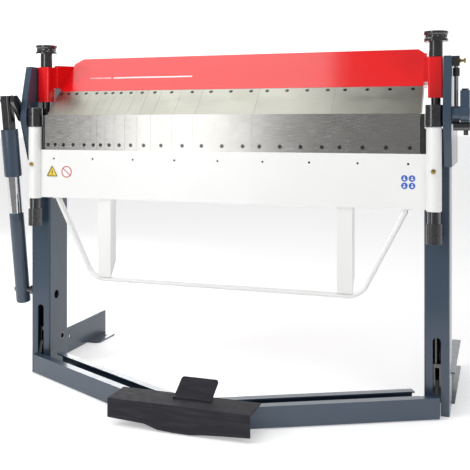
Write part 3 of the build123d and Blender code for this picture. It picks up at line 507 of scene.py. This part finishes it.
def select_faces(piece: bpy.types.Object, wanted: Callable[[bpy.types.MeshPolygon], bool]) -> None:
    """Go to edit mode with only the wanted faces selected.

    Args:
        piece: the piece to edit.
        wanted: says of a face if it is selected.
    """
    make_active(piece)
    bpy.ops.object.mode_set(mode="EDIT")
    bpy.ops.mesh.select_mode(type="FACE")
    bpy.ops.mesh.select_all(action="DESELECT")
    bpy.ops.object.mode_set(mode="OBJECT")
    for face in piece.data.polygons:
        face.select = wanted(face)
    bpy.ops.object.mode_set(mode="EDIT")


def soften_edges(piece: bpy.types.Object, width: float, segments: int = 2) -> None:
    """Round the sharp edges of a new piece and apply it."""
    make_active(piece)
    bpy.ops.object.modifier_add(type="BEVEL")
    bevel = piece.modifiers[-1]
    bevel.width = width
    bevel.segments = segments
    bevel.limit_method = "ANGLE"
    bevel.angle_limit = math.radians(35)
    bpy.ops.object.modifier_apply(modifier=bevel.name)
    bpy.ops.object.shade_smooth_by_angle(angle=math.radians(40))


def turned(name: str, profile: Sequence[tuple[float, float]], sides: int = 48) -> bpy.types.Object:
    """Model a round piece on the Z axis, a disc extruded and resized step by step.

    Args:
        name: name of the piece.
        profile: radius and height of each step, from the foot up.
        sides: sides of the disc.

    Returns:
        The piece, closed at both ends.
    """
    clear_selection()
    radius, height = profile[0]
    bpy.ops.mesh.primitive_circle_add(
        vertices=sides, radius=radius, fill_type="NGON", location=(0, 0, 0)
    )
    piece = name_active(name)
    bpy.ops.object.mode_set(mode="EDIT")
    bpy.ops.mesh.select_mode(type="FACE")
    bpy.ops.mesh.select_all(action="SELECT")
    bpy.ops.transform.translate(value=(0, 0, height))
    for next_radius, next_height in profile[1:]:
        rise = (0, 0, next_height - height)
        bpy.ops.mesh.extrude_region_move(TRANSFORM_OT_translate={"value": rise})
        ratio = next_radius / radius
        bpy.ops.transform.resize(value=(ratio, ratio, 1), center_override=(0, 0, next_height))
        radius, height = next_radius, next_height
    recalculate(piece)
    return piece


def thread(name: str, core: float, crest: float, pitch: float, length: float) -> bpy.types.Object:
    """Model a screw thread's ridge on the Z axis, starting at Z = 0.

    Args:
        name: name of the piece.
        core: radius at the foot of the ridge.
        crest: radius at its top.
        pitch: rise of one turn.
        length: length of the threaded part.

    Returns:
        The ridge as one closed helix.
    """
    clear_selection()
    bpy.ops.mesh.primitive_plane_add(size=1, rotation=(math.radians(90), 0, 0))
    piece = name_active(name)
    piece.scale = (crest - core, pitch * 0.8, 1)
    piece.location = ((core + crest) / 2, 0, pitch / 2)
    bpy.ops.object.transform_apply(location=True, rotation=True, scale=True)
    bpy.ops.object.mode_set(mode="EDIT")
    bpy.ops.mesh.select_mode(type="VERT")
    bpy.ops.mesh.select_all(action="DESELECT")
    bpy.ops.object.mode_set(mode="OBJECT")
    for point in piece.data.vertices:
        point.select = point.co.x > (core + crest) / 2
    bpy.ops.object.mode_set(mode="EDIT")
    bpy.ops.transform.resize(value=(1, 1, 0.35), center_override=(crest, 0, pitch / 2))
    bpy.ops.mesh.select_all(action="SELECT")
    bpy.ops.mesh.delete(type="ONLY_FACE")
    bpy.ops.object.mode_set(mode="OBJECT")
    bpy.ops.object.modifier_add(type="SCREW")
    screw = piece.modifiers[-1]
    screw.axis = "Z"
    screw.screw_offset = pitch
    screw.iterations = int(length / pitch) - 1
    screw.steps = 28
    screw.render_steps = 28
    bpy.ops.object.modifier_apply(modifier=screw.name)
    bpy.ops.object.mode_set(mode="EDIT")
    bpy.ops.mesh.select_all(action="SELECT")
    bpy.ops.mesh.fill_holes(sides=8)
    recalculate(piece)
    return piece


def bead(name: str, length: float, radius: float, pitch: float = 3.2 * MM) -> bpy.types.Object:
    """Model a straight weld bead along Z, with a ripple at each stitch.

    Args:
        name: name of the piece.
        length: length of the seam.
        radius: half the bead's width.
        pitch: distance between ripples.

    Returns:
        The bead, centred on the origin.
    """
    stitches = max(3, int(length / pitch))
    step = length / stitches
    profile = [(radius * 0.55, -length / 2)]
    for index in range(stitches):
        start = -length / 2 + index * step
        profile.append((radius, start + step * 0.35))
        profile.append((radius * 0.82, start + step * 0.9))
    profile.append((radius * 0.5, length / 2))
    return turned(name, profile, sides=12)


def ring_bead(name: str, major: float, minor: float, seed: int) -> bpy.types.Object:
    """Model a weld bead round a tube, slightly uneven.

    Args:
        name: name of the piece.
        major: radius of the seam.
        minor: half the bead's width.
        seed: seed of its unevenness.

    Returns:
        The bead in the XY plane.
    """
    clear_selection()
    bpy.ops.mesh.primitive_torus_add(
        major_segments=64, minor_segments=10, major_radius=major, minor_radius=minor
    )
    piece = name_active(name)
    bpy.ops.object.mode_set(mode="EDIT")
    bpy.ops.mesh.select_all(action="SELECT")
    bpy.ops.transform.vertex_random(offset=minor * 0.22, seed=seed)
    bpy.ops.object.mode_set(mode="OBJECT")
    return piece


def joined(name: str, pieces: Sequence[bpy.types.Object]) -> bpy.types.Object:
    """Join several pieces into one object and return it."""
    clear_selection()
    for piece in pieces:
        piece.select_set(True)
    bpy.context.view_layer.objects.active = pieces[0]
    bpy.ops.object.join()
    return name_active(name)


@dataclass
class SubAssembly:
    """Pieces that ride on the frame's bodies, and the finishes that they wear."""

    shop: PaintShop
    nodes: dict[str, bpy.types.Object]
    edge_width: float = 0.8 * MM

    def dress_node(
        self, name: str, edge: float | None = None, worn: Slot | None = None
    ) -> None:
        """Give a node its slot's finish and soft edges.

        Args:
            name: name of the node.
            edge: width of its softened edges, if not the usual one.
            worn: slot whose finish it wears, if not its own.
        """
        node = self.nodes[name]
        slot = worn or Slot(node.data.materials[0].name.split(".")[0])
        node.material_slots[0].material = self.shop.of(slot)
        weld = node.modifiers.new("weld", "WELD")
        weld.merge_threshold = 0.002 * MM
        flat = node.modifiers.new("flats", "DECIMATE")
        flat.decimate_type = "DISSOLVE"
        flat.angle_limit = math.radians(0.5)
        bevel = node.modifiers.new("edges", "BEVEL")
        bevel.width = self.edge_width if edge is None else edge
        bevel.segments = 2
        bevel.limit_method = "ANGLE"
        bevel.angle_limit = math.radians(35)
        node.modifiers.new("shading", "WEIGHTED_NORMAL")
        log.info("node %s wears %s", name, slot.value)

    def add_piece(
        self, piece: bpy.types.Object, body: str, slot: Slot | None, finish: object = None
    ) -> bpy.types.Object:
        """Dress a new piece and set it on its body.

        Args:
            piece: the finished mesh.
            body: the body that it rides on.
            slot: the record's slot whose finish it wears, or None for a printed label.
            finish: a finish other than the slot's own.

        Returns:
            The piece.
        """
        if finish is not None or slot is not None:
            material = self.shop.get(finish) if finish is not None else self.shop.of(slot)
            piece.data.materials.clear()
            piece.data.materials.append(material)
        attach(piece, body)
        log.info("piece %s rides on %s", piece.name, body)
        return piece


# ---------------------------------------------------------------- fixed frame
@dataclass
class FixedFrame(SubAssembly):
    """Columns, cheeks, rails, feet and bed of the machine."""

    body: str = "frame"
    heavy_edge: float = 1.2 * MM
    fold_edge: float = 2.0 * MM
    bead_radius: float = 2.6 * MM

    def build(self) -> None:
        """Dress the nodes and add the welds."""
        for name in ("anchor_feet", "bed_beam", "base_rail_left", "base_rail_right"):
            self.dress_node(name)
        for side in Side:
            self.dress_node(f"column_{side.word}", self.fold_edge)
            self.dress_node(f"cheek_{side.word}", self.heavy_edge)
            self.weld_cheek(side)
        self.dress_node("bed_blade", 0.4 * MM)
        self.dress_node("pivot_bushes", 0.5 * MM)
        self.dress_node("pedal_pivot_pins", 0.5 * MM)

    def weld_cheek(self, side: Side) -> None:
        """Run a bead up the seam between a column's rear and its cheek."""
        low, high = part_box(f"cheek_{side.word}")
        column_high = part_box(f"column_{side.word}")[1]
        seam_x = low.x if side is Side.RIGHT else high.x
        start = low.z + 12 * MM
        end = column_high.z - 12 * MM
        piece = bead(f"cheek_weld_{side.word}", end - start, self.bead_radius)
        settle(piece, (seam_x, column_high.y, (start + end) / 2))
        self.add_piece(piece, self.body, Slot.FRAME)
        foot_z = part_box(f"base_rail_{side.word}")[1].z
        rail = bead(f"rail_weld_{side.word}", foot_z - 8 * MM, self.bead_radius)
        settle(rail, (seam_x - side.value * 4 * MM, column_high.y + 1 * MM, foot_z / 2))
        self.add_piece(rail, self.body, Slot.FRAME)


# ---------------------------------------------------------------- swing frame
@dataclass
class SwingFrame(SubAssembly):
    """Pivot blocks, spindles, crank and angle arm, which turn with the apron."""

    body: str = "swing_frame"

    def build(self) -> None:
        """Dress the nodes."""
        for side in Side:
            self.dress_node(f"pivot_block_{side.word}", 1.0 * MM)
        self.dress_node("height_spindles", 0.5 * MM)
        self.dress_node("crank_arm_left", 1.2 * MM, Slot.BLACK)
        self.dress_node("angle_arm_right", 1.0 * MM)
        self.dress_node("angle_stop_roller", 0.8 * MM)


# ---------------------------------------------------------------- apron
@dataclass
class Apron(SubAssembly):
    """White folding apron with its blades, handle, labels and fittings."""

    body: str = "apron"
    label_lift: float = 0.15 * MM
    label_thickness: float = 0.25 * MM
    mark_thickness: float = 0.12 * MM
    handle_x: float = 0.595
    post_width: float = 48 * MM
    triangle_radius: float = 24.5 * MM
    ring_radius: float = 19.8 * MM
    disc_radius: float = 9.6 * MM
    disc_pitch: float = 22 * MM
    label_z: float = 0.705
    triangle_x: float = -0.606
    ring_x: float = -0.550
    discs_x: float = 0.600
    discs_z: float = 0.6965

    def build(self) -> None:
        """Dress the nodes and add labels, fittings and welds."""
        for name in ("apron_plate", "apron_tube_left", "apron_tube_right", "apron_posts"):
            self.dress_node(name, 1.0 * MM)
        self.dress_node("apron_handle", 0.4 * MM)
        self.dress_node("apron_end_caps", 0.6 * MM)
        for name in ("blade_screws", "apron_set_screws"):
            self.dress_node(name, 0.3 * MM)
        for size in ("small", "medium", "200", "250", "270"):
            self.dress_node(f"lower_blades_{size}", 0.35 * MM)
        self.fit_nipples()
        self.stick_labels()
        self.weld_handle()

    def face_y(self) -> float:
        """Y of the apron's front face."""
        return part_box("apron_plate")[0].y

    def fit_nipples(self) -> None:
        """Fit a turned grease nipple in each end tube."""
        low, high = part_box("grease_fittings")
        height = (low.z + high.z) / 2
        profile = [
            (6.9, 0), (6.9, 4.4), (6.3, 5.0), (5.4, 5.0), (5.4, 5.6), (4.6, 6.4),
            (3.2, 6.9), (2.9, 7.6), (3.4, 8.4), (3.4, 8.8), (2.4, 9.6), (0.9, 9.9),
        ]
        pair = []
        for side in Side:
            steps = [(radius * MM, rise * MM) for radius, rise in profile]
            nipple = turned(f"nipple_{side.word}", steps, sides=36)
            soften_edges(nipple, 0.15 * MM)
            tube_low, tube_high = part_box(f"apron_tube_{side.word}")
            middle = (tube_low.x + tube_high.x) / 2
            settle(nipple, (middle, low.y + 10 * MM, height), (math.radians(90), 0, 0))
            pair.append(nipple)
        piece = joined("grease_nipples", pair)
        self.add_piece(piece, self.body, Slot.BRASS)
        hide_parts("grease_fittings")

    def label_blank(self, name: str, sides: int, radius: float, turn: float) -> bpy.types.Object:
        """Cut a flat label whose face looks to the front.

        Args:
            name: name of the label.
            sides: sides of its outline.
            radius: radius of its outline.
            turn: turn in its own plane, in radians.

        Returns:
            The label at the origin, its back on the XZ plane.
        """
        clear_selection()
        bpy.ops.mesh.primitive_cylinder_add(
            vertices=sides, radius=radius, depth=self.label_thickness, rotation=(0, 0, turn)
        )
        piece = name_active(name)
        bpy.ops.object.transform_apply(location=True, rotation=True, scale=True)
        settle(piece, (0, -self.label_thickness / 2, 0), (math.radians(90), 0, 0))
        return piece

    def inset_face(self, piece: bpy.types.Object, border: float, inks: Iterable[object]) -> None:
        """Set a border round a label's face, in the first ink, and fill it with the second."""
        select_faces(piece, lambda face: face.normal.y < -0.9)
        bpy.ops.mesh.inset(thickness=border, depth=0)
        bpy.ops.object.mode_set(mode="OBJECT")
        piece.data.materials.clear()
        for ink in inks:
            piece.data.materials.append(self.shop.get(ink))
        for face in piece.data.polygons:
            face.material_index = 1 if face.select else 0

    def mark(self, name: str, sides: int, size: Point, place: Point, tilt: float = 0.0) -> bpy.types.Object:
        """Cut a small raised mark for a label.

        Args:
            name: name of the mark.
            sides: sides of its outline.
            size: width, thickness and height.
            place: its centre.
            tilt: turn about Y in radians.

        Returns:
            The mark.
        """
        clear_selection()
        bpy.ops.mesh.primitive_cylinder_add(
            vertices=sides, radius=0.5, depth=1, rotation=(0, 0, math.pi / sides)
        )
        piece = name_active(name)
        bpy.ops.object.transform_apply(location=True, rotation=True, scale=True)
        stretch = math.sqrt(2) if sides == 4 else 1
        piece.scale = (size[0] * stretch, size[2] * stretch, size[1])
        bpy.ops.object.transform_apply(location=True, rotation=True, scale=True)
        settle(piece, (0, 0, 0), (math.radians(90), 0, 0))
        settle(piece, place, (0, tilt, 0))
        return piece

    def stick_labels(self) -> None:
        """Stick the plain safety signs on the apron's front."""
        front = self.face_y() - self.label_lift
        top = front - self.label_thickness
        slim = self.mark_thickness
        triangle = self.label_blank("sign_triangle", 3, self.triangle_radius, 0)
        select_faces(triangle, lambda face: abs(face.normal.y) < 0.5)
        bpy.ops.mesh.select_mode(type="EDGE")
        bpy.ops.object.mode_set(mode="OBJECT")
        for edge in triangle.data.edges:
            ends = [triangle.data.vertices[index].co for index in edge.vertices]
            edge.select = abs(ends[0].y - ends[1].y) > self.label_thickness / 2
        for point in triangle.data.vertices:
            point.select = True
        bpy.ops.object.mode_set(mode="EDIT")
        bpy.ops.mesh.bevel(offset=3 * MM, segments=4, affect="EDGES")
        bpy.ops.object.mode_set(mode="OBJECT")
        self.inset_face(triangle, 1.8 * MM, (OLIVE, YELLOW))
        settle(triangle, (self.triangle_x, front, self.label_z - 4 * MM))
        self.add_piece(triangle, self.body, None)
        bar = self.mark(
            "sign_bar", 4, (3 * MM, slim, 10 * MM),
            (self.triangle_x, top - slim / 2, self.label_z - 1 * MM),
        )
        dot = self.mark(
            "sign_dot", 16, (3.4 * MM, slim, 3.4 * MM),
            (self.triangle_x, top - slim / 2, self.label_z - 9.5 * MM),
        )
        self.add_piece(joined("sign_triangle_mark", (bar, dot)), self.body, None, INK)
        ring = self.label_blank("sign_ring", 48, self.ring_radius, 0)
        self.inset_face(ring, 3.4 * MM, (SIGNAL_RED, VINYL_WHITE))
        settle(ring, (self.ring_x, front, self.label_z))
        self.add_piece(ring, self.body, None)
        slash = self.mark(
            "sign_slash", 4, (2 * self.ring_radius - 4 * MM, slim, 3.0 * MM),
            (self.ring_x, top - slim / 2, self.label_z), math.radians(40),
        )
        self.add_piece(slash, self.body, None, SIGNAL_RED)
        discs = []
        marks = []
        for column in (-0.5, 0.5):
            for row in (-0.5, 0.5):
                x = self.discs_x + column * self.disc_pitch
                z = self.discs_z + row * self.disc_pitch
                disc = self.label_blank("disc", 32, self.disc_radius, 0)
                settle(disc, (x, front, z))
                discs.append(disc)
                head = (x + column * MM, top - slim / 2, z + 3 * MM)
                torso = (x + column * MM, top - slim / 2, z - 2.6 * MM)
                marks.append(self.mark("head", 14, (4.6 * MM, slim, 4.6 * MM), head))
                marks.append(self.mark("torso", 4, (7.5 * MM, slim, 4.2 * MM), torso, row * 0.5))
        self.add_piece(joined("sign_discs", discs), self.body, None, BLUE)
        self.add_piece(joined("sign_disc_marks", marks), self.body, None, VINYL_WHITE)

    def weld_handle(self) -> None:
        """Weld the handle and the posts under the apron, and the posts to the handle."""
        low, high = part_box("apron_handle")
        posts_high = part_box("apron_posts")[1]
        middle_y = (low.y + high.y) / 2
        beads = []
        for index, side in enumerate(Side):
            seam = ring_bead("seam", 14.2 * MM, 2.2 * MM, seed=5 + index)
            seam.scale = (1.12, 1, 1)
            settle(seam, (side.value * self.handle_x, middle_y, high.z - 1.2 * MM))
            beads.append(seam)
        for side in Side:
            for along in (-1, 1):
                edge = posts_high.x if along > 0 else posts_high.x - self.post_width
                inner = side.value * edge
                foot = bead("foot", 26 * MM, 1.8 * MM)
                settle(foot, (inner, middle_y, high.z - 1 * MM), (math.radians(90), 0, 0))
                beads.append(foot)
        piece = joined("apron_welds", beads)
        bpy.ops.object.shade_smooth_by_angle(angle=math.radians(60))
        self.add_piece(piece, self.body, Slot.WHITE)


# ---------------------------------------------------------------- height nuts
@dataclass
class HeightNuts(SubAssembly):
    """Knurled nuts under the end tubes."""

    def build(self) -> None:
        """Dress the nodes."""
        for side in Side:
            self.dress_node(f"height_nut_{side.word}", 0.35 * MM)


# ---------------------------------------------------------------- clamping beam
@dataclass
class ClampBeam(SubAssembly):
    """Red beam with its fingers, end blocks, rods and clamp screws."""

    body: str = "clamp_beam"
    thread_pitch: float = 3.0 * MM
    thread_depth: float = 1.3 * MM
    thread_foot: float = 0.842
    thread_core: float = 13.6 * MM
    thread_gap: float = 1.5 * MM
    screw_radius: float = 14 * MM
    stud_count: int = 12
    stud_radius: float = 3.0 * MM
    stripe_lift: float = 0.1 * MM
    stripe_thickness: float = 0.2 * MM
    stripe_z: float = 1.033
    slope_angle: float = math.radians(45)
    stripes: tuple[tuple[float, float, float], ...] = (
        (-0.447, -0.146, 7 * MM),
        (-0.54, -0.456, 3 * MM),
    )

    def build(self) -> None:
        """Dress the nodes and add threads, studs and stripes."""
        for name in ("beam_front", "beam_truss"):
            self.dress_node(name, 1.4 * MM)
        for side in Side:
            self.dress_node(f"end_block_{side.word}", 1.6 * MM)
            self.dress_node(f"clamp_screw_{side.word}", 0.9 * MM)
            self.cut_thread(side)
            self.set_studs(side)
        for size in ("small", "medium", "200", "250", "270"):
            self.dress_node(f"upper_fingers_{size}", 0.35 * MM)
        self.stick_stripes()
        self.dress_node("finger_screws", 0.3 * MM)
        self.dress_node("pull_rods", 0.6 * MM, Slot.BLACK)

    def stick_stripes(self) -> None:
        """Stick two plain white stripes on the beam's sloping front."""
        out = Vector((0, -1, 1)).normalized()
        faces = self.nodes["beam_front"].data.polygons
        front = max(side.center.dot(out) for side in faces if side.normal.dot(out) > 0.999)
        lift = front + self.stripe_lift + self.stripe_thickness / 2
        middle = out * lift + Vector((0, 1, 1)) * (self.stripe_z - (out * lift).z)
        bars = []
        for start, end, width in self.stripes:
            clear_selection()
            bpy.ops.mesh.primitive_cube_add(size=1)
            bar = name_active("stripe")
            bar.scale = (end - start, width, self.stripe_thickness)
            place = ((start + end) / 2, middle.y, middle.z)
            settle(bar, place, (self.slope_angle, 0, 0))
            soften_edges(bar, 0.04 * MM)
            bars.append(bar)
        self.add_piece(joined("beam_stripes", bars), self.body, None, VINYL_WHITE)

    def axis(self, side: Side) -> Vector:
        """Centre of a clamp screw at mid height."""
        low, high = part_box(f"clamp_screw_{side.word}")
        return (low + high) / 2

    def cut_thread(self, side: Side) -> None:
        """Cut the thread that shows under an end block."""
        centre = self.axis(side)
        block_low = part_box(f"end_block_{side.word}")[0].z
        length = block_low - self.thread_foot - self.thread_gap
        ridge = thread(
            f"clamp_thread_{side.word}", self.thread_core, self.screw_radius + self.thread_depth,
            self.thread_pitch, length,
        )
        bpy.ops.object.shade_smooth_by_angle(angle=math.radians(30))
        settle(ridge, (centre.x, centre.y, self.thread_foot))
        self.add_piece(ridge, f"clamp_screw_{side.word}", Slot.BLACK)

    def set_studs(self, side: Side) -> None:
        """Set a bright tommy-bar stud at the bottom of each hole in the hand wheel."""
        low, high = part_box(f"clamp_screw_{side.word}")
        centre = (low + high) / 2
        wheel_z = high.z - 15 * MM
        reach = (high.x - low.x) / 2 - 8 * MM
        studs = []
        for index in range(self.stud_count):
            turn = math.radians(360 * index / self.stud_count + 15)
            stud = turned(
                "stud",
                [
                    (self.stud_radius, 0), (self.stud_radius, 2.2 * MM),
                    (self.stud_radius * 0.7, 3.0 * MM), (self.stud_radius * 0.25, 3.3 * MM),
                ],
                sides=16,
            )
            place = (
                centre.x + reach * math.cos(turn),
                centre.y + reach * math.sin(turn),
                wheel_z,
            )
            settle(stud, place, (0, math.radians(90), turn))
            studs.append(stud)
        piece = joined(f"wheel_studs_{side.word}", studs)
        bpy.ops.object.shade_smooth_by_angle(angle=math.radians(40))
        self.add_piece(piece, f"clamp_screw_{side.word}", Slot.CHROME)


# ---------------------------------------------------------------- treadle
@dataclass
class Treadle(SubAssembly):
    """V-shaped foot pedal with its cover, tab and levers."""

    body: str = "pedal"

    def build(self) -> None:
        """Dress the nodes and weld the tab."""
        for side in Side:
            self.dress_node(f"pedal_arm_{side.word}", 1.0 * MM)
        self.dress_node("toe_cover", 1.2 * MM)
        self.dress_node("heel_tab", 1.0 * MM)
        self.dress_node("pedal_levers", 0.8 * MM, Slot.BLACK)
        low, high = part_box("heel_tab")
        cover_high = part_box("toe_cover")[1]
        seam = bead("tab_weld", high.x - low.x - 14 * MM, 2.0 * MM)
        place = ((low.x + high.x) / 2, low.y + 1 * MM, cover_high.z + 0.6 * MM)
        settle(seam, place, (0, math.radians(90), 0))
        self.add_piece(seam, self.body, Slot.PEDAL)


# ---------------------------------------------------------------- strut
@dataclass
class Strut(SubAssembly):
    """Counterbalance strut on the left."""

    def build(self) -> None:
        """Dress the nodes."""
        for name in ("strut_fork", "strut_sleeve", "strut_tube"):
            self.dress_node(name, 1.4 * MM)
        self.dress_node("strut_rod", 0.4 * MM)
        self.dress_node("strut_foot_pin", 0.8 * MM)


# ---------------------------------------------------------------- angle stop
@dataclass
class AngleStop(SubAssembly):
    """Rod, guides, collar and thumb screw of the bending angle stop."""

    def build(self) -> None:
        """Dress the nodes."""
        for name in ("stop_guides", "stop_rod", "stop_collar", "thumb_screw"):
            self.dress_node(name, 0.5 * MM)


# ---------------------------------------------------------------- studio
class Seen(Enum):
    """What a lamp does to a surface: lights its colour, or shines in its gloss."""

    DIFFUSE = "diffuse"
    GLOSS = "gloss"


@dataclass(frozen=True)
class Lamp:
    """Rectangular soft lamp, hidden from the camera."""

    name: str
    place: Point
    target: Point
    size: tuple[float, float]
    brightness: float
    seen: Seen

    def hang(self) -> None:
        """Hang the lamp and aim it."""
        clear_selection()
        bpy.ops.object.light_add(type="AREA", location=self.place)
        light = bpy.context.active_object
        light.name = self.name
        light.data.shape = "RECTANGLE"
        light.data.size, light.data.size_y = self.size
        light.data.energy = self.brightness * math.pi * self.size[0] * self.size[1]
        aim = Vector(self.target) - Vector(self.place)
        light.rotation_euler = aim.to_track_quat("-Z", "Y").to_euler()
        light.visible_camera = False
        light.visible_glossy = self.seen is Seen.GLOSS
        light.visible_diffuse = self.seen is Seen.DIFFUSE


@dataclass
class Studio:
    """Floor, lights, sky and camera."""

    shop: PaintShop
    floor_size: float = 60.0
    floor_front: float = -1.5
    camera_place: Point = (0.85584, -2.70639, 0.86732)
    camera_turn: float = math.radians(18.675)
    lens: float = 59.94
    shift_up: float = -0.2352
    room_light: float = 0.26
    backdrop_light: float = 1.2
    sky_turn: tuple[float, float] = (0.45, 0.8)
    lamps: tuple[Lamp, ...] = (
        Lamp("key_lamp", (-2.4, -2.6, 2.6), (-0.2, -0.2, 0.6), (1.6, 1.6), 5.8, Seen.DIFFUSE),
        Lamp("fill_lamp", (3.0, -3.0, 1.8), (0.3, -0.3, 0.6), (1.8, 1.8), 2.3, Seen.DIFFUSE),
        Lamp("top_lamp", (-0.4, -1.4, 3.6), (-0.1, -0.5, 0.0), (2.6, 2.6), 2.4, Seen.DIFFUSE),
        Lamp("front_panel", (-1.21, -2.9, 0.85), (-1.21, 0.0, 0.85), (1.0, 1.5), 2.7, Seen.GLOSS),
        Lamp("roof_panel", (-0.84, -0.12, 2.8), (-0.84, -0.12, 0.0), (1.66, 1.2), 1.6, Seen.GLOSS),
        Lamp("rear_panel", (-2.6, 3.0, 1.5), (-2.6, 0.0, 1.5), (2.6, 1.8), 3.0, Seen.GLOSS),
    )

    def build(self) -> None:
        """Set the whole studio."""
        self.lay_floor()
        self.hang_lamps()
        self.set_sky()
        self.set_camera()

    def lay_floor(self) -> None:
        """Lay the pale floor just under the feet, its far front kept out of reflections."""
        half = self.floor_size / 2
        parts = {
            "studio_floor": (self.floor_front + half, True),
            "studio_floor_front": (self.floor_front - half, False),
        }
        for name, (middle, mirrored) in parts.items():
            clear_selection()
            bpy.ops.mesh.primitive_plane_add(
                size=self.floor_size, location=(0, middle, -0.3 * MM)
            )
            floor = name_active(name)
            bpy.ops.object.transform_apply(location=True, rotation=True, scale=True)
            floor.data.materials.append(self.shop.get(StudioFloor()))
            floor.visible_glossy = mirrored

    def hang_lamps(self) -> None:
        """Hang the soft lamps and the reflector panels, and aim them."""
        for lamp in self.lamps:
            lamp.hang()

    def set_sky(self) -> None:
        """Set a white sky whose light is greyer on the operator's side."""
        world = bpy.data.worlds.new("studio_sky")
        world.use_nodes = True
        bpy.context.scene.world = world
        tree = world.node_tree
        coords = tree.nodes.new("ShaderNodeTexCoord")
        split = tree.nodes.new("ShaderNodeSeparateXYZ")
        tree.links.new(coords.outputs["Generated"], split.inputs["Vector"])
        behind = tree.nodes.new("ShaderNodeMapRange")
        behind.interpolation_type = "SMOOTHSTEP"
        behind.inputs["From Min"].default_value = self.sky_turn[0]
        behind.inputs["From Max"].default_value = self.sky_turn[1]
        behind.inputs["To Min"].default_value = self.room_light
        behind.inputs["To Max"].default_value = self.backdrop_light
        tree.links.new(split.outputs["Y"], behind.inputs["Value"])
        path = tree.nodes.new("ShaderNodeLightPath")
        seen = tree.nodes.new("ShaderNodeMapRange")
        seen.inputs["To Max"].default_value = self.backdrop_light
        tree.links.new(path.outputs["Is Camera Ray"], seen.inputs["Value"])
        tree.links.new(behind.outputs["Result"], seen.inputs["To Min"])
        background = tree.nodes["Background"]
        background.inputs["Color"].default_value = (1, 1, 1, 1)
        tree.links.new(seen.outputs["Result"], background.inputs["Strength"])
        bpy.context.scene.view_settings.view_transform = "Standard"

    def set_camera(self) -> None:
        """Set the camera at eye level in front of the right column."""
        clear_selection()
        bpy.ops.object.camera_add(
            location=self.camera_place, rotation=(math.radians(90), 0, self.camera_turn)
        )
        camera = bpy.context.active_object
        camera.name = "camera"
        camera.data.lens = self.lens
        camera.data.sensor_width = 36
        camera.data.shift_y = self.shift_up
        camera.data.clip_end = 100
        bpy.context.scene.camera = camera


def main() -> None:
    """Build the looks in order."""
    logging.basicConfig(level=logging.INFO, format="%(name)s: %(message)s")
    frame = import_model()
    shop = PaintShop()
    Studio(shop).build()
    for kind in (
        FixedFrame, SwingFrame, Apron, HeightNuts, ClampBeam, Treadle, Strut, AngleStop,
    ):
        kind(shop, frame["nodes"]).build()
        log.info("%s is built", kind.__name__)


if __name__ == "__main__":
    main()
